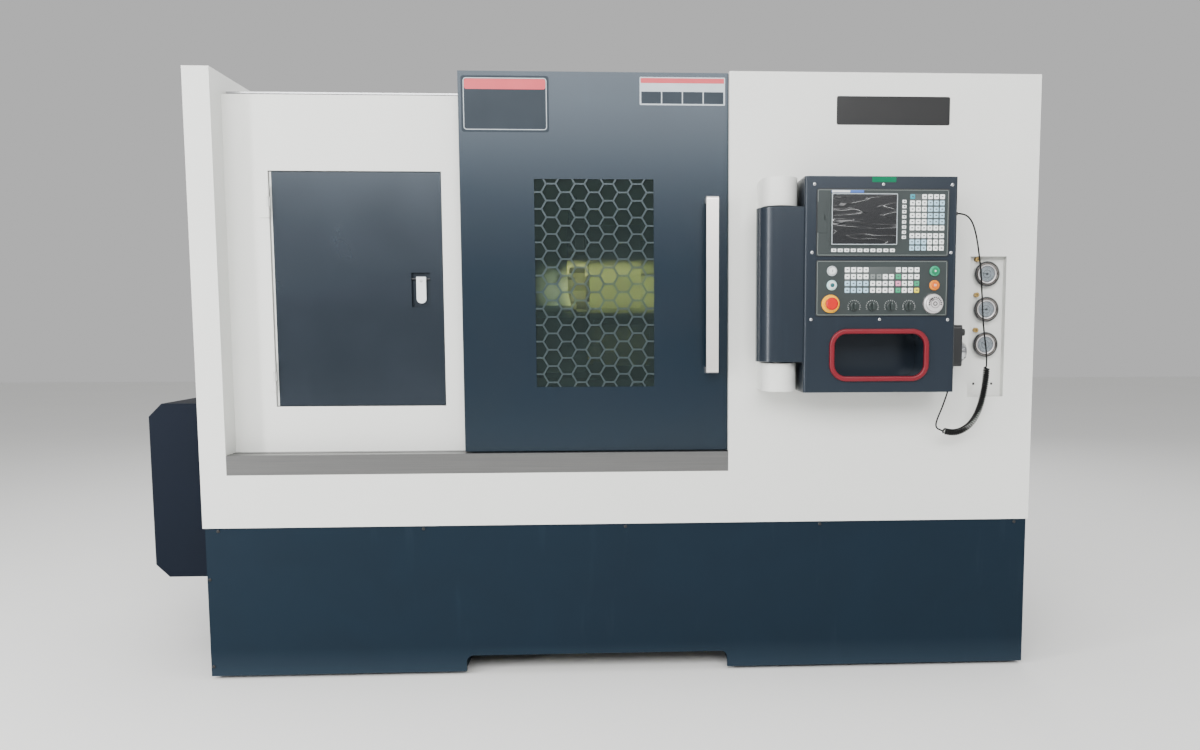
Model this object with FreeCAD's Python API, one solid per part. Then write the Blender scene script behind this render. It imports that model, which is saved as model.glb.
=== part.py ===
import FreeCAD, Part
import math
import os

from FreeCAD import Placement, Rotation, Vector

# A slant-bed turning lathe in its sheet enclosure, in millimetres.
# While it is built, x runs right from the enclosure's left edge, y runs back from its front plane
# and z runs up from the floor. save() moves every piece to the origin at the middle of the floor area.

# Enclosure
WIDTH = 2450.0
DEPTH = 1400.0
HEIGHT = 1769.0
SHEET = 3.0
BASE_TOP = 456.5
BAND_TOP = 611.8
COLUMN_WIDTH = 75.0
COLUMN_RETURN = 330.0
PANEL_SETBACK = 76.0
FIXED_PANEL_RIGHT = 800.0
LINTEL_DROP = 55.0
FOLD = 18.0
CABINET_WIDTH = 913.5
CABINET_DOORWAY_MARGIN = 90.0
LOUVRE_COUNT = 12
LOUVRE_PITCH = 28.0
LOUVRE_LENGTH = 300.0
LOUVRE_SLOT = 8.0

# Base
BASE_INSET = 5.0
BASE_WALL = 10.0
DECK = 20.0
BASE_GROUND_GAP = 12.0
NOTCH_LEFT = 753.0
NOTCH_WIDTH = 783.0
NOTCH_TOP = 60.0
NOTCH_CORNER = 20.0
BASE_RIB = 12.0
BASE_RIB_CLEARANCE = 90.0
FOOT_MARGIN = 175.0
FOOT_INNER_MARGIN = 95.0
LUG = 180.0
LUG_HEIGHT = 40.0
FOOT_STEM_RADIUS = 12.0
FOOT_PAD_RADIUS = 50.0
FOOT_PAD_HEIGHT = 10.0
ANCHOR_HOLE_RADIUS = 11.0
ANCHOR_OFFSET = 72.0
CHIP_CHUTE_DEPTH = 240.0

# Spindle axis and the slanted bed
AXIS_Y = 430.0
AXIS_Z = 1050.0
SLANT_DEG = 45.0
SWING_HEIGHT = 280.0
BED_LEFT = 330.0
BED_RIGHT_MARGIN = 200.0
BED_REACH_DOWN = 290.0
BED_REACH_UP = 360.0
BED_REAR = 1250.0
POCKET_COUNT = 4
POCKET_RIB = 60.0
POCKET_DEPTH = 330.0
POCKET_MARGIN = 66.0
WAY_WIDTH = 35.0
WAY_HEIGHT = 30.0
SADDLE_WAY_S = 20.0
SADDLE_WAY_SPAN = 305.0
TAIL_WAY_S = -240.0
TAIL_WAY_SPAN = 190.0
SLIDE_GAP = 0.5
FIT = 0.05

# Headstock, spindle and chuck
HEADSTOCK_LEFT = 340.0
HEADSTOCK_LENGTH = 400.0
HEADSTOCK_RADIUS = 135.0
HEADSTOCK_FOOT = 165.0
FIN_COUNT = 9
FIN_PITCH = 26.0
FIN_GROOVE = 12.0
FIN_DEPTH = 14.0
SPINDLE_RADIUS = 60.0
SPINDLE_BORE = 31.0
SPINDLE_TAIL_RADIUS = 42.0
SPINDLE_NOSE = 40.0
NOSE_RADIUS = 82.0
CHUCK_RADIUS = 105.0
CHUCK_LENGTH = 100.0
CHUCK_BORE = 33.0
JAW_WIDTH = 24.4
JAW_INNER = 36.0
JAW_LENGTH = 60.0
JAW_DEPTH = 28.0
JAW_STEP = 18.0
JAW_GAP = 0.3
JAW_COUNT = 3
CHUCK_CYLINDER_RADIUS = 78.0
CHUCK_CYLINDER_LENGTH = 90.0

# Belt drive
PULLEY_WIDTH = 76.0
PULLEY_GAP = 12.0
SPINDLE_PULLEY_RADIUS = 80.0
MOTOR_PULLEY_RADIUS = 64.0
PULLEY_GROOVES = 5
GROOVE_DEPTH = 6.0
BELT_THICKNESS = 9.0
BELT_GAP = 0.4
MOTOR_SHAFT_RADIUS = 24.0
MOTOR_Y = 600.0
MOTOR_SIDE = 220.0
MOTOR_LENGTH = 370.0
MOTOR_FOOT = 18.0
MOTOR_RIB_COUNT = 10

# Left drive cover
DRIVE_COVER_REACH = 235.0
DRIVE_COVER_FRONT = 200.0
DRIVE_COVER_DEPTH = 640.0
DRIVE_COVER_BOTTOM = 262.0
DRIVE_COVER_TOP = 806.0
DRIVE_COVER_CORNER = 40.0
MOTOR_ROOM = 25.0
BAR_HOLE_RADIUS = 45.0

# Carriage
SADDLE_LEFT = 1095.0
SADDLE_LENGTH = 280.0
SADDLE_HEIGHT = 85.0
CROSS_WAY_INSET = 25.0
CROSS_WAY_WIDTH = 30.0
CROSS_WAY_HEIGHT = 20.0
CROSS_SLIDE_START = 190.0
CROSS_SLIDE_LENGTH = 280.0
CROSS_SLIDE_HEIGHT = 55.0
CROSS_SLIDE_INSET = 10.0
TURRET_AXIS_S = 330.0
TURRET_BODY_RADIUS = 115.0
TURRET_BODY_LENGTH = 180.0
TURRET_MOTOR_RADIUS = 60.0
TURRET_MOTOR_LENGTH = 95.0
TURRET_STATIONS = 10
TURRET_FLATS = 300.0
TURRET_DISC_WIDTH = 70.0
TURRET_GAP = 3.0
TURRET_SPIGOT_RADIUS = 45.0
TURRET_SPIGOT_DEPTH = 30.0
HOLDER_LENGTH = 42.0
HOLDER_WIDTH = 52.0
TOOL_SIDE = 20.0
TOOL_REACH = 22.0

# Tailstock
TAILSTOCK_LEFT = 1580.0
TAILSTOCK_LENGTH = 240.0
TAILSTOCK_RADIUS = 72.0
TAILSTOCK_BASE_HEIGHT = 70.0
TAILSTOCK_MARGIN = 25.0
QUILL_RADIUS = 36.0
QUILL_OVERHANG = 60.0
CENTRE_RADIUS = 24.0
CENTRE_LENGTH = 40.0

# Splash guard
GUARD_REAR = 1000.0
GUARD_ROOF_DROP = 70.0
GUARD_FRONT = 560.0
GUARD_LEFT = 760.0
GUARD_LENGTH = 1260.0

# Sliding door, its sill and top rail
DOOR_OVERLAP = 41.0
DOOR_BOTTOM = 673.0
DOOR_FRONT = 24.0
DOOR_THICKNESS = 40.0
DOOR_CABINET_GAP = 1.0
DOOR_RETURN = 14.0
SILL_GROOVE_Y = 38.0
SILL_GROOVE_WIDTH = 12.0
SILL_GROOVE_DEPTH = 14.0
SILL_CLEARANCE = 2.8
TONGUE_THICKNESS = 6.0
TONGUE_DEPTH = 12.0
WINDOW_LEFT_MARGIN = 213.0
WINDOW_BOTTOM = 863.0
WINDOW_RIGHT_MARGIN = 217.5
WINDOW_HEIGHT = 603.0
HEX_PITCH = 48.0
HEX_RIB = 5.0
PANE_THICKNESS = 8.0
PANE_OVERLAP = 15.0
HANDLE_MARGIN = 32.5
HANDLE_WIDTH = 35.0
HANDLE_BOTTOM = 904.0
HANDLE_LENGTH = 509.0
HANDLE_STANDOFF = 60.0
HANDLE_BAR = 16.0
HANDLE_CORNER = 9.0
RAIL_Y = 120.0
RAIL_WIDTH = 16.0
RAIL_HEIGHT = 15.0
HANGER_WIDTH = 70.0
HANGER_INSET = 60.0
HANGER_PLATE = 5.0
HANGER_HEADROOM = 38.5

# Access door in the fixed panel
ACCESS_LEFT = 198.0
ACCESS_WIDTH = 499.0
ACCESS_BOTTOM = 805.0
ACCESS_HEIGHT = 689.0
ACCESS_GAP = 2.5
ACCESS_RECESS = 5.0
ACCESS_DEPTH = 20.0
KNUCKLE_RADIUS = 4.0
PIN_RADIUS = 2.0
KNUCKLE_LENGTH = 30.0
HINGE_INSET = 90.0
HINGE_LEAF = 26.0
HINGE_PLAY = 0.5
LATCH_CUP_RIGHT = 40.0
LATCH_CUP_WIDTH = 55.0
LATCH_CUP_BOTTOM = 1098.0
LATCH_CUP_HEIGHT = 102.0
LATCH_CUP_DEPTH = 14.0
PADDLE_WIDTH = 28.0
PADDLE_THICKNESS = 6.0
PADDLE_MARGIN = 12.0
PADDLE_PIN_RADIUS = 2.5

# Gauge recess in the right cabinet
GAUGE_PANEL_MARGIN = 87.0
GAUGE_PANEL_WIDTH = 113.0
GAUGE_PANEL_BOTTOM = 827.0
GAUGE_PANEL_HEIGHT = 419.0
GAUGE_PANEL_DEPTH = 26.0
GAUGE_TRAY_SHEET = 2.0
GAUGE_COUNT = 3
GAUGE_PITCH = 104.5
GAUGE_LOWEST = 984.0
GAUGE_RADIUS = 37.0
GAUGE_BEZEL = 4.0
GAUGE_HEIGHT = 20.0
GAUGE_DIAL_RECESS = 4.0
FITTING_RADIUS = 7.0
FITTING_HEIGHT = 14.0
FITTING_OFFSET_X = 27.5
FITTING_OFFSET_Z = 43.0

# Swivelling console
CONSOLE_REACH = 166.0
CONSOLE_ARM = 58.5
CONSOLE_WIDTH = 426.0
CONSOLE_BOTTOM = 856.0
CONSOLE_HEIGHT = 594.0
CONSOLE_REAR_GAP = 15.0
CONSOLE_EDGE = 10.0
PIVOT_INSET = 132.0
PIVOT_REACH = 90.5
BARREL_RADIUS = 65.0
BARREL_BOTTOM = 941.0
BARREL_TOP = 1369.0
BRACKET_WIDTH = 99.0
BRACKET_HEIGHT = 79.0
BRACKET_GAP = 5.0
PIVOT_PIN_RADIUS = 15.0
PIVOT_PIN_LENGTH = 40.0
PANEL_THICKNESS = 2.5
PANEL_INSET = 32.0
PANEL_WIDTH = 369.0
PANEL_CORNER = 6.0
DISPLAY_BOTTOM = 1232.0
DISPLAY_HEIGHT = 184.0
OPERATION_BOTTOM = 1068.0
OPERATION_HEIGHT = 154.0
SCREEN_INSET = 72.0
SCREEN_WIDTH = 184.0
SCREEN_BOTTOM = 1262.5
SCREEN_HEIGHT = 141.0
SCREEN_BEZEL = 9.0
SCREEN_PROUD = 5.0
SCREEN_RECESS = 2.5
CARD_FLAP_INSET = 34.5
CARD_FLAP_WIDTH = 25.0
CARD_FLAP_BOTTOM = 1296.0
CARD_FLAP_HEIGHT = 84.0
KEY_HEIGHT = 1.6
KEY_BASE = 0.8
SOFTKEY_WIDTH = 13.5
SOFTKEY_HEIGHT = 9.0
SOFTKEY_PITCH = 18.15
SOFTKEY_COUNT = 10
SOFTKEY_INSET = 80.3
SOFTKEY_Z = 1248.6
SIDEKEY_INSET = 275.0
SIDEKEY_Z = 1284.2
SIDEKEY_PITCH = 13.9
SIDEKEY_COUNT = 8
KEYPAD_INSET = 297.5
KEYPAD_TOP_Z = 1394.8
KEYPAD_COLUMNS = 6
KEYPAD_UPPER_ROWS = 6
KEYPAD_LOWER_ROWS = 3
KEY_PITCH = 17.0
KEYPAD_BREAK = 4.0
KEY_SIZE = 13.5
OPERATION_KEY_INSET = 119.0
OPERATION_KEY_Z = 1139.1
OPERATION_KEY_ROW_PITCH = 18.8
OPERATION_KEY_PITCH = 17.4
OPERATION_BLOCK_PITCH = 71.2
OPERATION_BLOCKS = 3
OPERATION_BLOCK_COLUMNS = 4
OPERATION_ROWS = 4
POCKET_INSET = 72.0
POCKET_WIDTH = 280.0
POCKET_BOTTOM = 887.0
POCKET_HEIGHT = 146.0
POCKET_CORNER = 48.0
POCKET_RIM = 14.0
POCKET_RIM_PROUD = 9.0
DOCUMENT_POCKET_DEPTH = 110.0

# Operators on the console: head radii, places and travels
SHAFT_RADIUS = 4.0
SHAFT_DEPTH = 22.0
BUTTON_RADIUS = 9.5
BUTTON_RING_RADIUS = 14.0
BUTTON_RING_HEIGHT = 7.0
BUTTON_PROUD = 3.0
BUTTON_TRAVEL = 2.5
BUTTON_GAP = 0.4
BUTTON_LEFT_INSET = 76.0
BUTTON_RIGHT_INSET = 363.0
BUTTON_UPPER_Z = 1192.0
BUTTON_LOWER_Z = 1153.0
ESTOP_INSET = 73.0
LOWER_ROW_Z = 1102.0
ESTOP_RADIUS = 17.0
ESTOP_COLLAR_RADIUS = 25.0
ESTOP_COLLAR_HEIGHT = 9.0
ESTOP_HEIGHT = 12.0
ESTOP_TRAVEL = 4.0
KNOB_INSET = 139.4
KNOB_PITCH = 51.1
KNOB_COUNT = 4
KNOB_DROP = 7.4
KNOB_RADIUS = 11.8
KNOB_HEIGHT = 15.0
KNOB_GRIP = 6.0
HANDWHEEL_INSET = 360.0
HANDWHEEL_RADIUS = 26.5
HANDWHEEL_HEIGHT = 22.0
HANDWHEEL_DIMPLE_OFFSET = 13.5
HANDWHEEL_DIMPLE_RADIUS = 6.0
HEAD_GAP = 1.0

# Handheld pendant on the console's right side, and its curly cord
PENDANT_THICKNESS = 36.0
PENDANT_REACH = 125.0
PENDANT_WIDTH = 80.0
PENDANT_BOTTOM = 925.0
PENDANT_HEIGHT = 118.0
PENDANT_CORNER = 10.0
DIAL_Z = 966.0
DIAL_RADIUS = 29.0
DIAL_HEIGHT = 20.0
SELECTOR_Z = 1022.0
SELECTOR_SPACING = 36.0
SELECTOR_RADIUS = 10.0
SELECTOR_HEIGHT = 12.0
CORD_DIAMETER = 4.6
COIL_DIAMETER = 20.0
CURL_COUNT = 42
CURL_EASE = 14.0
CURL_SWING = 11.0
COIL_SAMPLES = 2000
GLAND_RADIUS = 8.0
GLAND_NUT_RADIUS = 11.0
RELIEF_RADIUS = 6.0

# Sizes and places that follow from those above
CABINET_LEFT = WIDTH - CABINET_WIDTH
ROOF_HEIGHT = HEIGHT - HANGER_HEADROOM - HANGER_PLATE - SLIDE_GAP - RAIL_HEIGHT
GUARD_TOP = ROOF_HEIGHT - GUARD_ROOF_DROP
SLANT = math.radians(SLANT_DEG)
BED_FOOT_Y = AXIS_Y + SWING_HEIGHT * math.sin(SLANT)
BED_FOOT_Z = AXIS_Z - SWING_HEIGHT * math.cos(SLANT)
HEADSTOCK_RIGHT = HEADSTOCK_LEFT + HEADSTOCK_LENGTH
NOSE_X = HEADSTOCK_RIGHT + SPINDLE_NOSE
CHUCK_FACE = NOSE_X + CHUCK_LENGTH
PULLEY_RIGHT = HEADSTOCK_LEFT - PULLEY_GAP
PULLEY_LEFT = PULLEY_RIGHT - PULLEY_WIDTH
MOTOR_RIGHT = PULLEY_LEFT - PULLEY_GAP
MOTOR_Z = BASE_TOP + MOTOR_FOOT + MOTOR_SIDE / 2
BED_LENGTH = WIDTH - BED_LEFT - BED_RIGHT_MARGIN
DOOR_LEFT = FIXED_PANEL_RIGHT - DOOR_OVERLAP
DOOR_RIGHT = CABINET_LEFT - DOOR_CABINET_GAP
WINDOW_LEFT = DOOR_LEFT + WINDOW_LEFT_MARGIN
WINDOW_WIDTH = DOOR_RIGHT - WINDOW_RIGHT_MARGIN - WINDOW_LEFT
HANDLE_LEFT = DOOR_RIGHT - HANDLE_MARGIN - HANDLE_WIDTH
DOOR_BACK = DOOR_FRONT + DOOR_THICKNESS
SILL_TOP = DOOR_BOTTOM - SILL_CLEARANCE
ACCESS_RIGHT = ACCESS_LEFT + ACCESS_WIDTH
ACCESS_TOP = ACCESS_BOTTOM + ACCESS_HEIGHT
HINGE_Y = PANEL_SETBACK - KNUCKLE_RADIUS - HINGE_PLAY
GAUGE_PANEL_LEFT = WIDTH - GAUGE_PANEL_MARGIN - GAUGE_PANEL_WIDTH
PIVOT_X = CABINET_LEFT + PIVOT_INSET
PIVOT_Y = -PIVOT_REACH
CONSOLE_FACE = -CONSOLE_REACH
PANEL_FACE = CONSOLE_FACE - PANEL_THICKNESS
CONSOLE_LEFT = PIVOT_X + CONSOLE_ARM
CONSOLE_RIGHT = CONSOLE_LEFT + CONSOLE_WIDTH
PANEL_LEFT = CONSOLE_LEFT + PANEL_INSET
CARD_FLAP_LEFT = CONSOLE_LEFT + CARD_FLAP_INSET
SCREEN_LEFT = CONSOLE_LEFT + SCREEN_INSET
SOFTKEY_X = CONSOLE_LEFT + SOFTKEY_INSET
SIDEKEY_X = CONSOLE_LEFT + SIDEKEY_INSET
KEYPAD_X = CONSOLE_LEFT + KEYPAD_INSET
OPERATION_KEY_X = CONSOLE_LEFT + OPERATION_KEY_INSET
POCKET_LEFT = CONSOLE_LEFT + POCKET_INSET
BUTTON_LEFT_X = CONSOLE_LEFT + BUTTON_LEFT_INSET
BUTTON_RIGHT_X = CONSOLE_LEFT + BUTTON_RIGHT_INSET
ESTOP_X = CONSOLE_LEFT + ESTOP_INSET
KNOB_FIRST_X = CONSOLE_LEFT + KNOB_INSET
HANDWHEEL_X = CONSOLE_LEFT + HANDWHEEL_INSET
CONSOLE_TOP = CONSOLE_BOTTOM + CONSOLE_HEIGHT
SHAFT_BORE = SHAFT_RADIUS + FIT
PENDANT_FACE = CONSOLE_RIGHT + PENDANT_THICKNESS
PENDANT_Y = -PENDANT_REACH + PENDANT_WIDTH / 2
ESTOP_REACH = ESTOP_COLLAR_HEIGHT + ESTOP_TRAVEL + BUTTON_GAP + ESTOP_HEIGHT
FRONT_REACH = CONSOLE_REACH + PANEL_THICKNESS + max(ESTOP_REACH, HEAD_GAP + HANDWHEEL_HEIGHT)
ORIGIN_SHIFT = Vector(-(WIDTH - DRIVE_COVER_REACH) / 2, -(DEPTH - FRONT_REACH) / 2, 0)

X_AXIS = Vector(1, 0, 0)
Y_AXIS = Vector(0, 1, 0)
Z_AXIS = Vector(0, 0, 1)
INWARD = Y_AXIS
OUTWARD = -Y_AXIS
EXTRA = 1.0


# ---------------------------------------------------------------- forms


def block(x0, x1, y0, y1, z0, z1):
    """Rectangular block between two corners."""
    return Part.makeBox(x1 - x0, y1 - y0, z1 - z0, Vector(x0, y0, z0))


def rod(radius, base, axis, length):
    """Round bar from a base point along an axis."""
    return Part.makeCylinder(radius, length, base, axis)


def rounded(shape, axis, radius, where=None):
    """The shape with its straight edges along an axis rounded, or those whose middle passes a test."""
    edges = []
    for edge in shape.Edges:
        if isinstance(edge.Curve, Part.Line) and abs(edge.tangentAt(edge.FirstParameter).dot(axis)) > 0.999:
            if where is None or where(edge.CenterOfMass):
                edges.append(edge)
    return shape.makeFillet(radius, edges)


def plate(x0, x1, y0, y1, z0, z1, radius):
    """Plate that faces the front, with round corners."""
    return rounded(block(x0, x1, y0, y1, z0, z1), Y_AXIS, radius)


def prism(outline, axis, start, end):
    """Outline extruded along one axis; its pairs are the other two axes' values in x, y, z order."""
    places = {
        "x": lambda a, b: Vector(start, a, b),
        "y": lambda a, b: Vector(a, start, b),
        "z": lambda a, b: Vector(a, b, start),
    }
    travel = {"x": X_AXIS, "y": Y_AXIS, "z": Z_AXIS}[axis] * (end - start)
    points = [places[axis](a, b) for a, b in outline]
    return Part.Face(Part.makePolygon(points + points[:1])).extrude(travel)


def folded(path, thickness):
    """Outline of a folded sheet: a path and its offset to the left, mitred at each fold."""
    offset = []
    for i, (u, v) in enumerate(path):
        normals = []
        for a, b in ((i - 1, i), (i, i + 1)):
            if a >= 0 and b < len(path):
                du = path[b][0] - path[a][0]
                dv = path[b][1] - path[a][1]
                length = math.hypot(du, dv)
                normals.append((-dv / length, du / length))
        (nu, nv), (mu, mv) = normals[0], normals[-1]
        scale = thickness / (1 + nu * mu + nv * mv)
        offset.append((u + (nu + mu) * scale, v + (nv + mv) * scale))
    return list(path) + offset[::-1]


def turned(profile, base, axis):
    """Solid of revolution: pairs of distance along the axis and radius, turned about the axis at base."""
    across = Z_AXIS if abs(axis.z) < 0.5 else X_AXIS
    points = [base + axis * along + across * radius for along, radius in profile]
    return Part.Face(Part.makePolygon(points + points[:1])).revolve(base, axis, 360)


def on_bed(shape):
    """Places a shape drawn with y up the slanted bed and z square to it, from the spindle axis's foot."""
    placed = shape.copy()
    placed.Placement = Placement(Vector(0, BED_FOOT_Y, BED_FOOT_Z), Rotation(X_AXIS, SLANT_DEG))
    return placed


def joined(first, *others):
    """Pieces welded into one solid, with seams in a plane removed."""
    return first.fuse(list(others)).removeSplitter()


def save(name, *solids):
    """Writes one node, moved so that the origin is on the floor at the middle of the object."""
    moved = [solid.translated(ORIGIN_SHIFT) for solid in solids]
    shape = moved[0] if len(moved) == 1 else Part.makeCompound(moved)
    shape.exportStep("parts/" + name + ".step")
    print(name, "solids", len(shape.Solids), "volume", round(shape.Volume), "valid", shape.isValid())


# ---------------------------------------------------------------- base and bed


def foot_places():
    """Places of the levelling feet: two rows of four, clear of the notch."""
    columns = [
        FOOT_MARGIN,
        NOTCH_LEFT - FOOT_INNER_MARGIN,
        NOTCH_LEFT + NOTCH_WIDTH + FOOT_INNER_MARGIN,
        WIDTH - FOOT_MARGIN,
    ]
    inset = BASE_INSET + BASE_WALL + LUG / 2
    return [(x, y) for y in (inset, DEPTH - inset) for x in columns]


def machine_base():
    """Welded base, plate by plate: four walls, deck with a chip chute, cross ribs and foot lugs."""
    inner = BASE_INSET + BASE_WALL
    left, right = BASE_INSET, WIDTH - BASE_INSET
    low = BASE_GROUND_GAP
    deck_low = BASE_TOP - DECK
    notch_right = NOTCH_LEFT + NOTCH_WIDTH
    notch = block(NOTCH_LEFT, notch_right, 0, inner + EXTRA, -NOTCH_TOP, NOTCH_TOP)
    front_wall = block(left, right, BASE_INSET, inner, low, BASE_TOP)
    plates = [
        front_wall.cut(rounded(notch, Y_AXIS, NOTCH_CORNER)),
        block(left, right, DEPTH - inner, DEPTH - BASE_INSET, low, BASE_TOP),
        block(left, inner, inner, DEPTH - inner, low, BASE_TOP),
        block(WIDTH - inner, right, inner, DEPTH - inner, low, BASE_TOP),
    ]
    front = PANEL_SETBACK + SHEET
    back = front + CHIP_CHUTE_DEPTH
    deck = block(inner, WIDTH - inner, inner, DEPTH - inner, deck_low, BASE_TOP)
    chute = block(GUARD_LEFT + FOLD, CABINET_LEFT - SHEET, front, back, deck_low - EXTRA, BASE_TOP + EXTRA)
    plates.append(deck.cut(chute))
    for x in (BED_LEFT, NOTCH_LEFT, notch_right, BED_LEFT + BED_LENGTH - BASE_RIB):
        plates.append(block(x, x + BASE_RIB, inner, DEPTH - inner, BASE_RIB_CLEARANCE, deck_low))
    for x, y in foot_places():
        lug = block(x - LUG / 2, x + LUG / 2, y - LUG / 2, y + LUG / 2, low, low + LUG_HEIGHT)
        anchor = x + math.copysign(ANCHOR_OFFSET, WIDTH / 2 - x)
        stem_hole = rod(FOOT_STEM_RADIUS + FIT, Vector(x, y, 0), Z_AXIS, low + LUG_HEIGHT + EXTRA)
        anchor_hole = rod(ANCHOR_HOLE_RADIUS, Vector(anchor, y, 0), Z_AXIS, low + LUG_HEIGHT + EXTRA)
        plates.append(lug.cut([stem_hole, anchor_hole]))
    return plates


def levelling_feet():
    """Round pads on threaded stems, each with its hexagon nut on top of the lug."""
    top = BASE_GROUND_GAP + LUG_HEIGHT
    nut_flats = 2 * FOOT_STEM_RADIUS * 1.5
    feet = []
    for x, y in foot_places():
        centre = Vector(x, y, 0)
        profile = [
            (0, 0),
            (0, FOOT_PAD_RADIUS),
            (FOOT_PAD_HEIGHT / 2, FOOT_PAD_RADIUS),
            (FOOT_PAD_HEIGHT, FOOT_STEM_RADIUS * 2),
            (BASE_GROUND_GAP, FOOT_STEM_RADIUS * 2),
            (BASE_GROUND_GAP, FOOT_STEM_RADIUS),
            (top + FOOT_STEM_RADIUS * 2, FOOT_STEM_RADIUS),
            (top + FOOT_STEM_RADIUS * 2, 0),
        ]
        foot = turned(profile, centre, Z_AXIS)
        corner = nut_flats / math.sqrt(3)
        hexagon = [
            (x + corner * math.cos(math.radians(60 * i)), y + corner * math.sin(math.radians(60 * i)))
            for i in range(6)
        ]
        feet.append(joined(foot, prism(hexagon, "z", top, top + FOOT_STEM_RADIUS)))
    return feet


def slant_point(s, h):
    """y and z of a point s up the bed from the spindle axis's foot and h above the bed."""
    y = BED_FOOT_Y + s * math.cos(SLANT) - h * math.sin(SLANT)
    z = BED_FOOT_Z + s * math.sin(SLANT) + h * math.cos(SLANT)
    return y, z


def ways(first, span, left, length):
    """Two rectangular ways along the bed, in bed coordinates."""
    return [
        block(left, left + length, s - WAY_WIDTH / 2, s + WAY_WIDTH / 2, -EXTRA, WAY_HEIGHT)
        for s in (first, first + span)
    ]


def bed_casting():
    """Slant-bed casting: triangular section with four ways and pockets between ribs at the back."""
    low_y, low_z = slant_point(-BED_REACH_DOWN, 0)
    high_y, high_z = slant_point(BED_REACH_UP, 0)
    outline = [(low_y, BASE_TOP), (low_y, low_z), (high_y, high_z), (BED_REAR, high_z), (BED_REAR, BASE_TOP)]
    bed = prism(outline, "x", BED_LEFT, BED_LEFT + BED_LENGTH)
    pitch = (BED_LENGTH - POCKET_RIB) / POCKET_COUNT
    pockets = []
    for i in range(POCKET_COUNT):
        left = BED_LEFT + POCKET_RIB + i * pitch
        pocket = block(
            left,
            left + pitch - POCKET_RIB,
            BED_REAR - POCKET_DEPTH,
            BED_REAR + EXTRA,
            BASE_TOP + POCKET_MARGIN,
            high_z - POCKET_MARGIN,
        )
        pockets.append(rounded(pocket, Y_AXIS, POCKET_RIB / 2))
    bed = bed.cut(pockets)
    way_left = HEADSTOCK_RIGHT + FOLD
    way_length = BED_LEFT + BED_LENGTH - way_left
    rails = ways(SADDLE_WAY_S, SADDLE_WAY_SPAN, way_left, way_length)
    rails += ways(TAIL_WAY_S, TAIL_WAY_SPAN, way_left, way_length)
    return joined(bed, *[on_bed(rail) for rail in rails])


def way_channels(first, span, left, length):
    """Clearance round a pair of ways, in bed coordinates."""
    half = WAY_WIDTH / 2 + SLIDE_GAP
    top = WAY_HEIGHT + SLIDE_GAP
    low = left - EXTRA
    high = left + length + EXTRA
    return [block(low, high, s - half, s + half, 0, top) for s in (first, first + span)]


# ---------------------------------------------------------------- headstock and drive


def arched(half_base, radius, left, length):
    """Upright with a round head about the spindle axis, in bed coordinates."""
    start = Vector(left, radius, SWING_HEIGHT)
    top = Vector(left, 0, SWING_HEIGHT + radius)
    end = Vector(left, -radius, SWING_HEIGHT)
    foot_up = Vector(left, half_base, 0)
    foot_down = Vector(left, -half_base, 0)
    edges = [
        Part.LineSegment(foot_down, foot_up).toShape(),
        Part.LineSegment(foot_up, start).toShape(),
        Part.Arc(start, top, end).toShape(),
        Part.LineSegment(end, foot_down).toShape(),
    ]
    return Part.Face(Part.Wire(edges)).extrude(X_AXIS * length)


def headstock():
    """Headstock casting with cooling fins round its head and the spindle's bore."""
    body = arched(HEADSTOCK_FOOT, HEADSTOCK_RADIUS, HEADSTOCK_LEFT, HEADSTOCK_LENGTH)
    centre = Vector(0, 0, SWING_HEIGHT)
    bore_start = centre + X_AXIS * (HEADSTOCK_LEFT - EXTRA)
    cuts = [rod(SPINDLE_RADIUS + FIT, bore_start, X_AXIS, HEADSTOCK_LENGTH + 2 * EXTRA)]
    first = HEADSTOCK_LEFT + (HEADSTOCK_LENGTH - (FIN_COUNT - 1) * FIN_PITCH - FIN_GROOVE) / 2
    for i in range(FIN_COUNT):
        place = centre + X_AXIS * (first + i * FIN_PITCH)
        ring = rod(HEADSTOCK_RADIUS + FIN_DEPTH, place, X_AXIS, FIN_GROOVE)
        ring = ring.cut(rod(HEADSTOCK_RADIUS - FIN_DEPTH, place, X_AXIS, FIN_GROOVE))
        low = SWING_HEIGHT - HEADSTOCK_RADIUS / 2
        reach = HEADSTOCK_RADIUS + FIN_DEPTH
        upper = block(place.x, place.x + FIN_GROOVE, -reach, reach, low, SWING_HEIGHT + reach)
        cuts.append(ring.common(upper))
    return on_bed(body.cut(cuts))


def spindle():
    """Hollow spindle: pulley seat, bearing journal, flanged nose and the chuck cylinder's seat."""
    tail = PULLEY_LEFT - PULLEY_GAP
    profile = [
        (tail, SPINDLE_BORE),
        (tail, SPINDLE_TAIL_RADIUS),
        (PULLEY_RIGHT, SPINDLE_TAIL_RADIUS),
        (PULLEY_RIGHT, SPINDLE_RADIUS),
        (HEADSTOCK_RIGHT + PULLEY_GAP, SPINDLE_RADIUS),
        (HEADSTOCK_RIGHT + PULLEY_GAP, NOSE_RADIUS),
        (NOSE_X, NOSE_RADIUS),
        (NOSE_X, SPINDLE_BORE),
    ]
    shaft = turned(profile, Vector(0, AXIS_Y, AXIS_Z), X_AXIS)
    cylinder_profile = [
        (tail - CHUCK_CYLINDER_LENGTH, SPINDLE_BORE),
        (tail - CHUCK_CYLINDER_LENGTH, CHUCK_CYLINDER_RADIUS * 0.8),
        (tail - CHUCK_CYLINDER_LENGTH * 0.4, CHUCK_CYLINDER_RADIUS * 0.8),
        (tail - CHUCK_CYLINDER_LENGTH * 0.4, CHUCK_CYLINDER_RADIUS),
        (tail, CHUCK_CYLINDER_RADIUS),
        (tail, SPINDLE_BORE),
    ]
    return joined(shaft, turned(cylinder_profile, Vector(0, AXIS_Y, AXIS_Z), X_AXIS))


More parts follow.
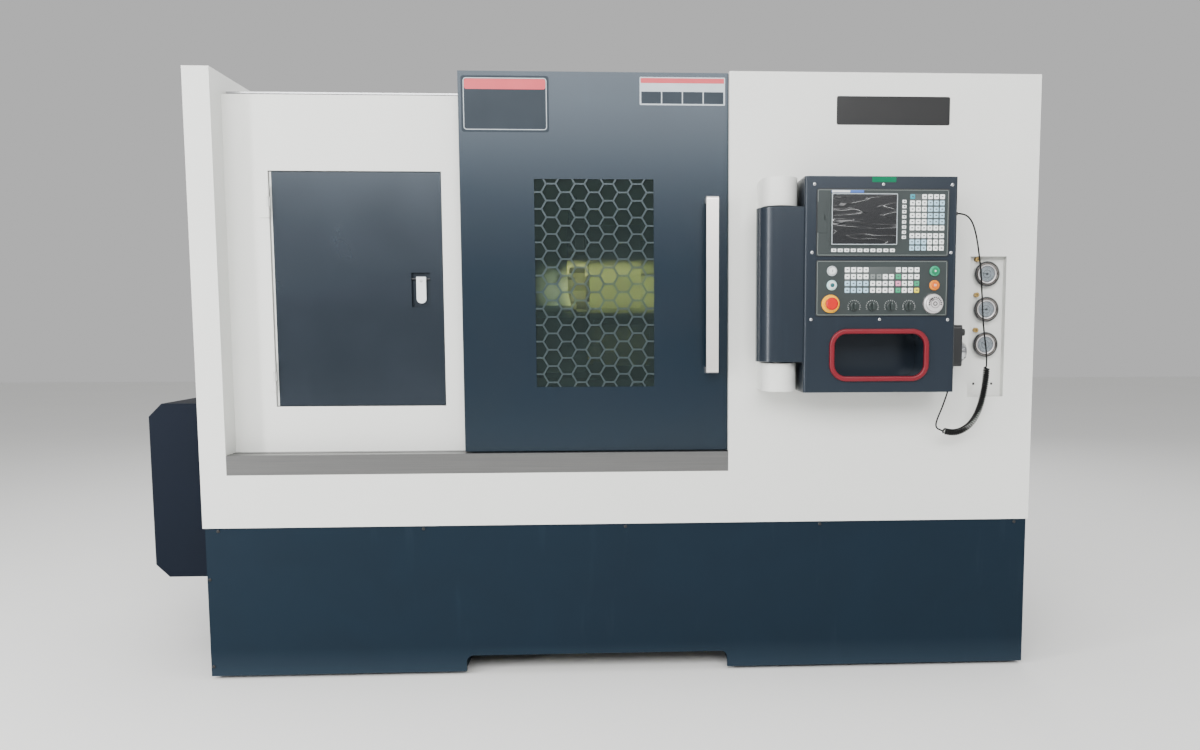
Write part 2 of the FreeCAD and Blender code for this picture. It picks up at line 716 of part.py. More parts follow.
def pulley(radius, bore, y, z):
    """Ribbed pulley with a row of V grooves round its rim."""
    pitch = PULLEY_WIDTH / PULLEY_GROOVES
    profile = [(PULLEY_LEFT, bore)]
    for i in range(PULLEY_GROOVES):
        left = PULLEY_LEFT + i * pitch
        profile.append((left, radius))
        profile.append((left + pitch / 2, radius - GROOVE_DEPTH))
    profile.append((PULLEY_RIGHT, radius))
    profile.append((PULLEY_RIGHT, bore))
    return turned(profile, Vector(0, y, z), X_AXIS)


def motor_pulley():
    """Motor pulley with its shaft, which runs in the motor."""
    wheel = pulley(MOTOR_PULLEY_RADIUS, MOTOR_SHAFT_RADIUS / 2, MOTOR_Y, MOTOR_Z)
    start = Vector(MOTOR_RIGHT - MOTOR_LENGTH / 4, MOTOR_Y, MOTOR_Z)
    return joined(wheel, rod(MOTOR_SHAFT_RADIUS, start, X_AXIS, PULLEY_RIGHT - start.x))


def belt_loop(upper_radius, lower_radius):
    """Solid round the two pulleys, as wide as the belt: two arcs and their common tangents."""
    upper = Vector(PULLEY_LEFT + PULLEY_GAP / 2, AXIS_Y, AXIS_Z)
    lower = Vector(upper.x, MOTOR_Y, MOTOR_Z)
    line = lower - upper
    heading = math.atan2(line.z, line.y)
    spread = math.acos((upper_radius - lower_radius) / line.Length)

    def rim(centre, radius, angle):
        return centre + Vector(0, radius * math.cos(angle), radius * math.sin(angle))

    one = heading + spread
    other = heading - spread
    edges = [
        Part.LineSegment(rim(upper, upper_radius, one), rim(lower, lower_radius, one)).toShape(),
        Part.Arc(
            rim(lower, lower_radius, one),
            rim(lower, lower_radius, heading),
            rim(lower, lower_radius, other),
        ).toShape(),
        Part.LineSegment(rim(lower, lower_radius, other), rim(upper, upper_radius, other)).toShape(),
        Part.Arc(
            rim(upper, upper_radius, other),
            rim(upper, upper_radius, heading + math.pi),
            rim(upper, upper_radius, one),
        ).toShape(),
    ]
    return Part.Face(Part.Wire(edges)).extrude(X_AXIS * (PULLEY_WIDTH - PULLEY_GAP))


def drive_belt():
    """Flat outer face of the ribbed belt, running just clear of both pulleys."""
    upper = SPINDLE_PULLEY_RADIUS + BELT_GAP
    lower = MOTOR_PULLEY_RADIUS + BELT_GAP
    return belt_loop(upper + BELT_THICKNESS, lower + BELT_THICKNESS).cut(belt_loop(upper, lower))


def spindle_motor():
    """Foot-mounted motor: square ribbed body, round end shields and a bore for its shaft."""
    left = MOTOR_RIGHT - MOTOR_LENGTH
    half = MOTOR_SIDE / 2
    shield = MOTOR_LENGTH / 8
    right = MOTOR_RIGHT - shield
    body = block(left + shield, right, MOTOR_Y - half, MOTOR_Y + half, MOTOR_Z - half, MOTOR_Z + half)
    body = rounded(body, X_AXIS, MOTOR_SIDE / 8)
    axis = Vector(left, MOTOR_Y, MOTOR_Z)
    body = joined(
        body,
        rod(half * 0.92, axis, X_AXIS, MOTOR_LENGTH),
        block(left + shield, right, MOTOR_Y - half, MOTOR_Y + half, BASE_TOP, MOTOR_Z - half / 2),
    )
    pitch = (MOTOR_SIDE - MOTOR_FOOT) / MOTOR_RIB_COUNT
    cuts = [rod(MOTOR_SHAFT_RADIUS + FIT, axis, X_AXIS, MOTOR_LENGTH + EXTRA)]
    for i in range(MOTOR_RIB_COUNT):
        y = MOTOR_Y - half + MOTOR_FOOT + i * pitch
        top = MOTOR_Z + half
        cuts.append(block(left, MOTOR_RIGHT, y, y + pitch / 2, top - pitch / 2, top + EXTRA))
    return body.cut(cuts)


def drive_cover():
    """Cover over the motor's overhang, with cut corners, open towards the enclosure."""

    def shell(inset, x_end):
        reach = -DRIVE_COVER_REACH + inset
        low = DRIVE_COVER_BOTTOM + inset
        high = DRIVE_COVER_TOP - inset
        corner = DRIVE_COVER_CORNER - inset * (2 - math.sqrt(2))
        outline = [
            (x_end, low),
            (x_end, high),
            (reach + corner, high),
            (reach, high - corner),
            (reach, low + corner),
            (reach + corner, low),
        ]
        return prism(outline, "y", DRIVE_COVER_FRONT + inset, DRIVE_COVER_FRONT + DRIVE_COVER_DEPTH - inset)

    return shell(0, 0).cut(shell(SHEET, EXTRA))


# ---------------------------------------------------------------- chuck


def jaw_slot_place(index):
    """Turn that carries a piece drawn at the top of the chuck to one of its slots."""
    return Placement(
        Vector(0, 0, 0), Rotation(X_AXIS, 360 / JAW_COUNT * index), Vector(0, AXIS_Y, AXIS_Z)
    )


def chuck_body():
    """Round chuck with a through bore, a stepped rim and three radial jaw slots."""
    profile = [
        (NOSE_X, CHUCK_BORE),
        (NOSE_X, CHUCK_RADIUS),
        (CHUCK_FACE - JAW_DEPTH / 2, CHUCK_RADIUS),
        (CHUCK_FACE, CHUCK_RADIUS - JAW_DEPTH / 4),
        (CHUCK_FACE, CHUCK_BORE),
    ]
    body = turned(profile, Vector(0, AXIS_Y, AXIS_Z), X_AXIS)
    half = JAW_WIDTH / 2 + JAW_GAP
    floor = CHUCK_FACE - JAW_DEPTH - JAW_GAP
    cuts = []
    for i in range(JAW_COUNT):
        slot = block(
            floor, CHUCK_FACE + EXTRA, AXIS_Y - half, AXIS_Y + half, AXIS_Z, AXIS_Z + CHUCK_RADIUS + EXTRA
        )
        slot.Placement = jaw_slot_place(i)
        cuts.append(slot)
    return body.cut(cuts)


def jaw(index):
    """Stepped jaw in its slot, drawn closed."""
    outer = JAW_INNER + JAW_LENGTH
    outline = [
        (CHUCK_FACE - JAW_DEPTH, JAW_INNER),
        (CHUCK_FACE - JAW_DEPTH, outer),
        (CHUCK_FACE + JAW_STEP, outer),
        (CHUCK_FACE + JAW_STEP, outer - JAW_STEP),
        (CHUCK_FACE + 2 * JAW_STEP, outer - JAW_STEP),
        (CHUCK_FACE + 2 * JAW_STEP, outer - 2 * JAW_STEP),
        (CHUCK_FACE + 3 * JAW_STEP, outer - 2 * JAW_STEP),
        (CHUCK_FACE + 3 * JAW_STEP, JAW_INNER),
    ]
    outline = [(x, AXIS_Z + r) for x, r in outline]
    piece = prism(outline, "y", AXIS_Y - JAW_WIDTH / 2, AXIS_Y + JAW_WIDTH / 2)
    piece.Placement = jaw_slot_place(index)
    return piece


# ---------------------------------------------------------------- carriage and tailstock


def saddle():
    """Saddle on the two upper ways, with the cross ways up its top."""
    low = SADDLE_WAY_S - WAY_WIDTH
    high = SADDLE_WAY_S + SADDLE_WAY_SPAN + WAY_WIDTH
    body = block(SADDLE_LEFT, SADDLE_LEFT + SADDLE_LENGTH, low, high, SLIDE_GAP, SADDLE_HEIGHT)
    body = body.cut(way_channels(SADDLE_WAY_S, SADDLE_WAY_SPAN, SADDLE_LEFT, SADDLE_LENGTH))
    top = SADDLE_HEIGHT + CROSS_WAY_HEIGHT
    rails = [
        block(x, x + CROSS_WAY_WIDTH, low, high, SADDLE_HEIGHT - EXTRA, top) for x in cross_way_lefts()
    ]
    return on_bed(joined(body, *rails))


def cross_way_lefts():
    """Left edges of the two cross ways."""
    right = SADDLE_LEFT + SADDLE_LENGTH - CROSS_WAY_INSET - CROSS_WAY_WIDTH
    return SADDLE_LEFT + CROSS_WAY_INSET, right


def cross_slide():
    """Cross slide with the turret's body, the seat of its disc and the turret motor behind."""
    left = SADDLE_LEFT + CROSS_SLIDE_INSET
    right = SADDLE_LEFT + SADDLE_LENGTH - CROSS_SLIDE_INSET
    bottom = SADDLE_HEIGHT + SLIDE_GAP
    top = bottom + CROSS_SLIDE_HEIGHT
    base = block(left, right, CROSS_SLIDE_START, CROSS_SLIDE_START + CROSS_SLIDE_LENGTH, bottom, top)
    body_left = left + TURRET_GAP
    axis = Vector(body_left, TURRET_AXIS_S, SWING_HEIGHT)
    waist = block(
        body_left,
        body_left + TURRET_BODY_LENGTH,
        TURRET_AXIS_S - TURRET_BODY_RADIUS,
        TURRET_AXIS_S + TURRET_BODY_RADIUS,
        top - EXTRA,
        SWING_HEIGHT,
    )
    motor = rod(TURRET_MOTOR_RADIUS, axis, X_AXIS, TURRET_BODY_LENGTH + TURRET_MOTOR_LENGTH)
    whole = joined(base, waist, rod(TURRET_BODY_RADIUS, axis, X_AXIS, TURRET_BODY_LENGTH), motor)
    cuts = [rod(TURRET_SPIGOT_RADIUS + FIT, axis - X_AXIS * EXTRA, X_AXIS, TURRET_SPIGOT_DEPTH + 2 * EXTRA)]
    for x in cross_way_lefts():
        cuts.append(
            block(
                x - SLIDE_GAP,
                x + CROSS_WAY_WIDTH + SLIDE_GAP,
                CROSS_SLIDE_START - EXTRA,
                CROSS_SLIDE_START + CROSS_SLIDE_LENGTH + EXTRA,
                bottom - EXTRA,
                SADDLE_HEIGHT + CROSS_WAY_HEIGHT + SLIDE_GAP,
            )
        )
    return on_bed(whole.cut(cuts))


def turret_disc():
    """Ten-sided disc with a tool holder and its tool on every flat, and the spigot it turns on."""
    right = SADDLE_LEFT + CROSS_SLIDE_INSET
    left = right - TURRET_DISC_WIDTH
    step = 360 / TURRET_STATIONS
    corner = TURRET_FLATS / 2 / math.cos(math.radians(step / 2))
    outline = []
    for i in range(TURRET_STATIONS):
        angle = math.radians(step * (i + 0.5))
        outline.append((TURRET_AXIS_S + corner * math.cos(angle), SWING_HEIGHT + corner * math.sin(angle)))
    axis = Vector(right - EXTRA, TURRET_AXIS_S, SWING_HEIGHT)
    parts = [rod(TURRET_SPIGOT_RADIUS, axis, X_AXIS, EXTRA + TURRET_GAP + TURRET_SPIGOT_DEPTH)]
    flat = TURRET_FLATS / 2
    middle = (left + right) / 2
    for i in range(TURRET_STATIONS):
        holder = block(
            middle - HOLDER_WIDTH / 2,
            middle + HOLDER_WIDTH / 2,
            TURRET_AXIS_S - HOLDER_WIDTH / 2,
            TURRET_AXIS_S + HOLDER_WIDTH / 2,
            SWING_HEIGHT + flat - EXTRA,
            SWING_HEIGHT + flat + HOLDER_LENGTH,
        )
        tool = block(
            middle - HOLDER_WIDTH / 2,
            middle - HOLDER_WIDTH / 2 + TOOL_SIDE,
            TURRET_AXIS_S - TOOL_SIDE / 2,
            TURRET_AXIS_S + TOOL_SIDE / 2,
            SWING_HEIGHT + flat,
            SWING_HEIGHT + flat + HOLDER_LENGTH + TOOL_REACH,
        )
        turn = Placement(Vector(0, 0, 0), Rotation(X_AXIS, step * i), Vector(0, TURRET_AXIS_S, SWING_HEIGHT))
        for piece in (holder, tool):
            piece.Placement = turn
            parts.append(piece)
    return on_bed(joined(prism(outline, "x", left, right), *parts))


def tailstock():
    """Tailstock on the two lower ways, leaning over to the spindle axis, bored for the quill."""
    low = TAIL_WAY_S - TAILSTOCK_MARGIN
    high = TAIL_WAY_S + TAIL_WAY_SPAN + TAILSTOCK_MARGIN
    right = TAILSTOCK_LEFT + TAILSTOCK_LENGTH
    outline = [
        (low, SLIDE_GAP),
        (high, SLIDE_GAP),
        (high, TAILSTOCK_BASE_HEIGHT),
        (TAILSTOCK_RADIUS, SWING_HEIGHT),
        (-TAILSTOCK_RADIUS, SWING_HEIGHT),
        (low / 2 + high / 2 - TAILSTOCK_MARGIN, TAILSTOCK_BASE_HEIGHT),
        (low, TAILSTOCK_BASE_HEIGHT),
    ]
    body = prism(outline, "x", TAILSTOCK_LEFT, right)
    centre = Vector(TAILSTOCK_LEFT, 0, SWING_HEIGHT)
    body = joined(body, rod(TAILSTOCK_RADIUS, centre, X_AXIS, TAILSTOCK_LENGTH))
    cuts = way_channels(TAIL_WAY_S, TAIL_WAY_SPAN, TAILSTOCK_LEFT, TAILSTOCK_LENGTH)
    bore = TAILSTOCK_LENGTH - TAILSTOCK_MARGIN
    cuts.append(rod(QUILL_RADIUS + FIT, centre - X_AXIS * EXTRA, X_AXIS, bore + EXTRA))
    return on_bed(body.cut(cuts))


def quill():
    """Tailstock quill with its live centre."""
    nose = TAILSTOCK_LEFT - QUILL_OVERHANG
    end = TAILSTOCK_LEFT + TAILSTOCK_LENGTH - 2 * TAILSTOCK_MARGIN
    profile = [
        (nose - 2 * CENTRE_LENGTH, 0),
        (nose - CENTRE_LENGTH, CENTRE_RADIUS),
        (nose, CENTRE_RADIUS),
        (nose, QUILL_RADIUS),
        (end, QUILL_RADIUS),
        (end, 0),
    ]
    return turned(profile, Vector(0, AXIS_Y, AXIS_Z), X_AXIS)


# ---------------------------------------------------------------- enclosure


def left_end_cover():
    """Left side sheet folded round the column, with the motor's opening and the hole for bar stock."""
    path = [
        (COLUMN_WIDTH, COLUMN_RETURN),
        (COLUMN_WIDTH, 0),
        (0, 0),
        (0, DEPTH),
    ]
    sheet = prism(folded(path, -SHEET), "z", BASE_TOP, HEIGHT)
    foot = block(SHEET / 2, FOLD, SHEET / 2, DEPTH - FOLD, BASE_TOP, BASE_TOP + SHEET)
    half = MOTOR_SIDE / 2 + MOTOR_ROOM
    opening = block(-EXTRA, FOLD + EXTRA, MOTOR_Y - half, MOTOR_Y + half, BASE_TOP - EXTRA, MOTOR_Z + half)
    bar_hole = rod(BAR_HOLE_RADIUS, Vector(-EXTRA, AXIS_Y, AXIS_Z), X_AXIS, SHEET + 2 * EXTRA)
    return joined(sheet, foot).cut([opening, bar_hole])


def lower_front_cover():
    """White band under the sill, folded back along its top and bottom."""
    path = [
        (PANEL_SETBACK, BASE_TOP),
        (0, BASE_TOP),
        (0, BAND_TOP),
        (PANEL_SETBACK + FOLD, BAND_TOP),
    ]
    return prism(folded(path, -SHEET), "x", COLUMN_WIDTH, CABINET_LEFT)


def fixed_front_panel():
    """Recessed front panel with its access opening, folded edges and the fixed halves of the hinges."""
    path = [
        (COLUMN_WIDTH, PANEL_SETBACK + FOLD),
        (COLUMN_WIDTH, PANEL_SETBACK),
        (FIXED_PANEL_RIGHT, PANEL_SETBACK),
        (FIXED_PANEL_RIGHT, PANEL_SETBACK + FOLD),
    ]
    panel = prism(folded(path, SHEET), "z", BAND_TOP, ROOF_HEIGHT - SHEET)
    opening = block(ACCESS_LEFT, ACCESS_RIGHT, 0, PANEL_SETBACK + FOLD, ACCESS_BOTTOM, ACCESS_TOP)
    panel = panel.cut(opening)
    stop = block(
        ACCESS_LEFT - SHEET,
        ACCESS_RIGHT + SHEET,
        PANEL_SETBACK + SHEET,
        PANEL_SETBACK + ACCESS_RECESS + ACCESS_DEPTH + FOLD,
        ACCESS_BOTTOM - SHEET,
        ACCESS_TOP + SHEET,
    )
    panel = joined(panel, stop.cut(opening_through(stop)))
    for z in hinge_heights():
        panel = joined(panel, hinge_leaf(z))
    return panel


def opening_through(frame):
    """The access opening, as deep as the frame round it."""
    box = frame.BoundBox
    return block(ACCESS_LEFT, ACCESS_RIGHT, box.YMin - EXTRA, box.YMax + EXTRA, ACCESS_BOTTOM, ACCESS_TOP)


def hinge_heights():
    """Middles of the two hinges."""
    return ACCESS_BOTTOM + HINGE_INSET, ACCESS_TOP - HINGE_INSET


def hinge_leaf(z):
    """Fixed half of a hinge: a leaf on the panel, two knuckles and the pin through them."""
    half = KNUCKLE_LENGTH / 2
    axis = Vector(ACCESS_LEFT, HINGE_Y, z)
    reach = half + KNUCKLE_LENGTH
    leaf = block(
        ACCESS_LEFT - HINGE_LEAF,
        ACCESS_LEFT - KNUCKLE_RADIUS - EXTRA,
        HINGE_Y + KNUCKLE_RADIUS / 2,
        PANEL_SETBACK + EXTRA,
        z - reach,
        z + reach,
    )
    knuckles = []
    for start in (-reach, half):
        knuckles.append(rod(KNUCKLE_RADIUS, axis + Z_AXIS * start, Z_AXIS, KNUCKLE_LENGTH))
        knuckles.append(
            block(
                ACCESS_LEFT - KNUCKLE_RADIUS - 2 * EXTRA,
                ACCESS_LEFT,
                HINGE_Y + KNUCKLE_RADIUS / 2,
                PANEL_SETBACK + EXTRA,
                z + start,
                z + start + KNUCKLE_LENGTH,
            )
        )
    pin = rod(PIN_RADIUS, axis - Z_AXIS * (reach - EXTRA), Z_AXIS, 2 * (reach - EXTRA))
    return joined(leaf, pin, *knuckles)


def access_door():
    """Navy access door: a shallow pan with a latch cup and the moving knuckles of its hinges."""
    left = ACCESS_LEFT + ACCESS_GAP
    right = ACCESS_RIGHT - ACCESS_GAP
    front = PANEL_SETBACK + ACCESS_RECESS
    back = front + ACCESS_DEPTH
    low = ACCESS_BOTTOM + ACCESS_GAP
    high = ACCESS_TOP - ACCESS_GAP
    pan = block(left, right, front, back, low, high)
    pan = pan.cut(block(left + SHEET, right - SHEET, front + SHEET, back + EXTRA, low + SHEET, high - SHEET))
    cup_right = ACCESS_RIGHT - LATCH_CUP_RIGHT
    cup_left = cup_right - LATCH_CUP_WIDTH
    cup_top = LATCH_CUP_BOTTOM + LATCH_CUP_HEIGHT
    cup = block(
        cup_left - SHEET / 2,
        cup_right + SHEET / 2,
        front + SHEET / 2,
        front + LATCH_CUP_DEPTH + SHEET / 2,
        LATCH_CUP_BOTTOM - SHEET / 2,
        cup_top + SHEET / 2,
    )
    door = joined(pan, cup)
    cuts = [block(cup_left, cup_right, front - EXTRA, front + LATCH_CUP_DEPTH, LATCH_CUP_BOTTOM, cup_top)]
    pin_start = paddle_pin() - X_AXIS * EXTRA
    cuts.append(rod(PADDLE_PIN_RADIUS + FIT, pin_start, X_AXIS, paddle_pin_length() + 2 * EXTRA))
    for z in hinge_heights():
        half = KNUCKLE_LENGTH / 2 - ACCESS_GAP / 2
        axis = Vector(ACCESS_LEFT, HINGE_Y, z - half)
        arm = block(ACCESS_LEFT, left + SHEET, HINGE_Y, front + SHEET, z - half, z + half)
        door = joined(door, rod(KNUCKLE_RADIUS, axis, Z_AXIS, 2 * half), arm)
        cuts.append(rod(PIN_RADIUS + FIT, axis - Z_AXIS * EXTRA, Z_AXIS, 2 * half + 2 * EXTRA))
    return door.cut(cuts)


def paddle_pin():
    """Left end of the latch paddle's pin, near the top of its cup."""
    left = ACCESS_RIGHT - LATCH_CUP_RIGHT - LATCH_CUP_WIDTH
    front = PANEL_SETBACK + ACCESS_RECESS
    top = LATCH_CUP_BOTTOM + LATCH_CUP_HEIGHT
    return Vector(left - SHEET / 4, front + LATCH_CUP_DEPTH / 2, top - PADDLE_MARGIN - PADDLE_THICKNESS)


def paddle_pin_length():
    """The pin reaches into both sides of the cup."""
    return LATCH_CUP_WIDTH + SHEET / 2


def access_latch():
    """Latch paddle: a flat grip with a round lower end on a pin across its top."""
    pin = paddle_pin()
    middle = pin.x + paddle_pin_length() / 2
    half = PADDLE_WIDTH / 2
    front = pin.y - PADDLE_THICKNESS / 2
    low = LATCH_CUP_BOTTOM + PADDLE_MARGIN
    grip = block(middle - half, middle + half, front, front + PADDLE_THICKNESS, low, pin.z + PADDLE_THICKNESS)
    grip = rounded(grip, Y_AXIS, half * 0.95, lambda centre: centre.z < low + EXTRA)
    return joined(grip, rod(PADDLE_PIN_RADIUS, pin, X_AXIS, paddle_pin_length()))


def guide_strip():
    """Stainless sill: a folded channel with the groove that the door's tongue runs in."""
    groove_back = SILL_GROOVE_Y + SILL_GROOVE_WIDTH
    path = [
        (0, BAND_TOP),
        (0, SILL_TOP),
        (SILL_GROOVE_Y, SILL_TOP),
        (SILL_GROOVE_Y, SILL_TOP - SILL_GROOVE_DEPTH),
        (groove_back, SILL_TOP - SILL_GROOVE_DEPTH),
        (groove_back, SILL_TOP),
        (PANEL_SETBACK, SILL_TOP),
        (PANEL_SETBACK, BAND_TOP),
    ]
    return prism(folded(path, -SHEET / 2), "x", COLUMN_WIDTH, CABINET_LEFT)


def door_top_rail():
    """Linear rail on the roof that the sliding door hangs on."""
    half = RAIL_WIDTH / 2
    waist = RAIL_WIDTH / 5
    top = ROOF_HEIGHT + RAIL_HEIGHT
    mid = ROOF_HEIGHT + RAIL_HEIGHT / 2
    outline = [
        (RAIL_Y - half, ROOF_HEIGHT),
        (RAIL_Y + half, ROOF_HEIGHT),
        (RAIL_Y + half, mid - waist),
        (RAIL_Y + half - waist, mid),
        (RAIL_Y + half, mid + waist),
        (RAIL_Y + half, top),
        (RAIL_Y - half, top),
        (RAIL_Y - half, mid + waist),
        (RAIL_Y - half + waist, mid),
        (RAIL_Y - half, mid - waist),
    ]
    return prism(outline, "x", COLUMN_WIDTH, CABINET_LEFT)


def control_cabinet():
    """Right cabinet shell: front, top, right side and a left wall with the doorway of the work area."""
    cabinet = block(CABINET_LEFT, WIDTH, 0, DEPTH, BASE_TOP, HEIGHT)
    right = WIDTH - SHEET
    inside = block(CABINET_LEFT + SHEET, right, SHEET, DEPTH - SHEET, BASE_TOP + SHEET, HEIGHT - SHEET)
    low = BASE_TOP - EXTRA
    floor = block(CABINET_LEFT - EXTRA, WIDTH - FOLD, FOLD, DEPTH + EXTRA, low, BASE_TOP + 2 * SHEET)
    back = block(CABINET_LEFT - EXTRA, right, DEPTH - FOLD, DEPTH + EXTRA, low, ROOF_HEIGHT - SHEET)
    doorway = block(
        CABINET_LEFT - EXTRA,
        CABINET_LEFT + 2 * SHEET,
        CABINET_DOORWAY_MARGIN,
        DEPTH + EXTRA,
        low,
        ROOF_HEIGHT - SHEET,
    )
    recess = block(
        GAUGE_PANEL_LEFT,
        GAUGE_PANEL_LEFT + GAUGE_PANEL_WIDTH,
        -EXTRA,
        2 * SHEET,
        GAUGE_PANEL_BOTTOM,
        GAUGE_PANEL_BOTTOM + GAUGE_PANEL_HEIGHT,
    )
    return cabinet.cut([inside, floor, back, doorway, recess])


def roof_cover():
    """Roof sheet from the lintel over the doorway to the back."""
    path = [
        (PANEL_SETBACK, ROOF_HEIGHT - LINTEL_DROP),
        (PANEL_SETBACK, ROOF_HEIGHT),
        (DEPTH, ROOF_HEIGHT),
    ]
    over_door = prism(folded(path, -SHEET), "x", FIXED_PANEL_RIGHT, CABINET_LEFT)
    low = ROOF_HEIGHT - SHEET
    over_panel = block(COLUMN_WIDTH, FIXED_PANEL_RIGHT + EXTRA, PANEL_SETBACK, DEPTH, low, ROOF_HEIGHT)
    side = block(SHEET, COLUMN_WIDTH + EXTRA, COLUMN_RETURN, DEPTH, low, ROOF_HEIGHT)
    return joined(over_door, over_panel, side)


def rear_cover():
    """Rear sheet inside the side covers, with two fields of ventilation slots."""
    top = ROOF_HEIGHT - SHEET
    path = [(DEPTH - FOLD, BASE_TOP), (DEPTH, BASE_TOP), (DEPTH, top), (DEPTH - FOLD, top)]
    sheet = prism(folded(path, SHEET), "x", SHEET, WIDTH - SHEET)
    cuts = []
    first = top - 2 * LOUVRE_LENGTH / 3
    for centre in (WIDTH / 4, WIDTH * 3 / 4):
        for i in range(LOUVRE_COUNT):
            z = first - i * LOUVRE_PITCH
            cuts.append(
                block(
                    centre - LOUVRE_LENGTH / 2,
                    centre + LOUVRE_LENGTH / 2,
                    DEPTH - 2 * SHEET,
                    DEPTH + EXTRA,
                    z,
                    z + LOUVRE_SLOT,
                )
            )
    return sheet.cut(cuts)


def splash_guard():
    """Folded lining behind the work area, from the bed's top up and forward under the roof."""
    bed_top = slant_point(BED_REACH_UP, 0)[1]
    path = [
        (GUARD_REAR + FOLD, bed_top),
        (GUARD_REAR, bed_top),
        (GUARD_REAR, GUARD_TOP),
        (GUARD_FRONT, ROOF_HEIGHT - 3 * SHEET),
    ]
    outline = folded(path, -SHEET)
    return prism(outline, "x", GUARD_LEFT, GUARD_LEFT + GUARD_LENGTH)


# ---------------------------------------------------------------- sliding door


def hexagon(x, z):
    """Hexagonal cell with a flat top, centred on a point of the window."""
    corner = (HEX_PITCH - HEX_RIB) / math.sqrt(3)
    outline = []
    for i in range(6):
        angle = math.radians(60 * i)
        outline.append((x + corner * math.cos(angle), z + corner * math.sin(angle)))
    return prism(outline, "y", DOOR_FRONT - EXTRA, DOOR_FRONT + SHEET + EXTRA)


def window_cells():
    """Honeycomb cut of the door window: staggered columns of cells, trimmed by the window's edge."""
    column_pitch = HEX_PITCH * math.sqrt(3) / 2
    half_columns = math.floor((WINDOW_WIDTH / 2 + HEX_PITCH / 2 - HEX_RIB) / column_pitch)
    half_rows = math.ceil(WINDOW_HEIGHT / 2 / HEX_PITCH)
    centre_x = WINDOW_LEFT + WINDOW_WIDTH / 2
    centre_z = WINDOW_BOTTOM + WINDOW_HEIGHT / 2
    frame = block(
        WINDOW_LEFT,
        WINDOW_LEFT + WINDOW_WIDTH,
        DOOR_FRONT - EXTRA,
        DOOR_FRONT + SHEET + EXTRA,
        WINDOW_BOTTOM,
        WINDOW_BOTTOM + WINDOW_HEIGHT,
    )
    cells = []
    for column in range(-half_columns, half_columns + 1):
        stagger = HEX_PITCH / 2 if column % 2 else 0
        for row in range(-half_rows, half_rows + 1):
            cell = hexagon(centre_x + column * column_pitch, centre_z + row * HEX_PITCH + stagger)
            trimmed = cell.common(frame)
            if trimmed.Volume > cell.Volume / 12:
                cells.append(trimmed)
    return cells


def door_panel():
    """Sliding door: a folded pan with a honeycomb window, a guide tongue and two hangers over the rail."""
    returns = DOOR_RETURN
    path = [
        (DOOR_LEFT + returns, DOOR_BACK),
        (DOOR_LEFT, DOOR_BACK),
        (DOOR_LEFT, DOOR_FRONT),
        (DOOR_RIGHT, DOOR_FRONT),
        (DOOR_RIGHT, DOOR_BACK),
        (DOOR_RIGHT - returns, DOOR_BACK),
    ]
    door = prism(folded(path, SHEET), "z", DOOR_BOTTOM, HEIGHT)
    ends = []
    for z in (DOOR_BOTTOM, HEIGHT - SHEET):
        ends.append(block(DOOR_LEFT, DOOR_RIGHT, DOOR_FRONT, DOOR_BACK, z, z + SHEET))
    tongue_y = SILL_GROOVE_Y + (SILL_GROOVE_WIDTH - TONGUE_THICKNESS) / 2
    tongue_bottom = SILL_TOP - TONGUE_DEPTH + SILL_CLEARANCE
    ends.append(
        block(
            DOOR_LEFT + returns,
            DOOR_RIGHT - returns,
            tongue_y,
            tongue_y + TONGUE_THICKNESS,
            tongue_bottom,
            DOOR_BOTTOM + EXTRA,
        )
    )
    for x in (DOOR_LEFT + HANGER_INSET, DOOR_RIGHT - HANGER_INSET - HANGER_WIDTH):
        ends.append(hanger(x))
    return joined(door, *ends).cut(window_cells())


def hanger(x):
    """Hanger: an arm over the fixed panel and a truck that straddles the top rail."""
    half = RAIL_WIDTH / 2 + SLIDE_GAP
    rail_top = ROOF_HEIGHT + RAIL_HEIGHT + SLIDE_GAP
    outer = half + HANGER_PLATE
    arm = block(
        x, x + HANGER_WIDTH, DOOR_FRONT + SHEET / 2, RAIL_Y + outer, rail_top, rail_top + HANGER_PLATE
    )
    sides = []
    for y in (RAIL_Y - outer, RAIL_Y + half):
        low = ROOF_HEIGHT + RAIL_HEIGHT / 2
        sides.append(block(x, x + HANGER_WIDTH, y, y + HANGER_PLATE, low, rail_top + EXTRA))
    return joined(arm, *sides)


def door_window():
    """Clear pane behind the honeycomb."""
    back = DOOR_FRONT + SHEET
    return plate(
        WINDOW_LEFT - PANE_OVERLAP,
        WINDOW_LEFT + WINDOW_WIDTH + PANE_OVERLAP,
        back,
        back + PANE_THICKNESS,
        WINDOW_BOTTOM - PANE_OVERLAP,
        WINDOW_BOTTOM + WINDOW_HEIGHT + PANE_OVERLAP,
        PANE_OVERLAP,
    )


def door_handle():
    """Stainless bow handle: one bar folded back at both ends to the door."""
    front = DOOR_FRONT - HANDLE_STANDOFF
    top = HANDLE_BOTTOM + HANDLE_LENGTH
    right = HANDLE_LEFT + HANDLE_WIDTH
    bow = block(HANDLE_LEFT, right, front, DOOR_FRONT, HANDLE_BOTTOM, top)
    bow = rounded(bow, X_AXIS, HANDLE_CORNER, lambda centre: centre.y < front + EXTRA)
    gap = block(
        HANDLE_LEFT - EXTRA,
        right + EXTRA,
        front + HANDLE_BAR,
        DOOR_FRONT + EXTRA,
        HANDLE_BOTTOM + HANDLE_BAR,
        top - HANDLE_BAR,
    )
    return bow.cut(gap)


# ---------------------------------------------------------------- gauges


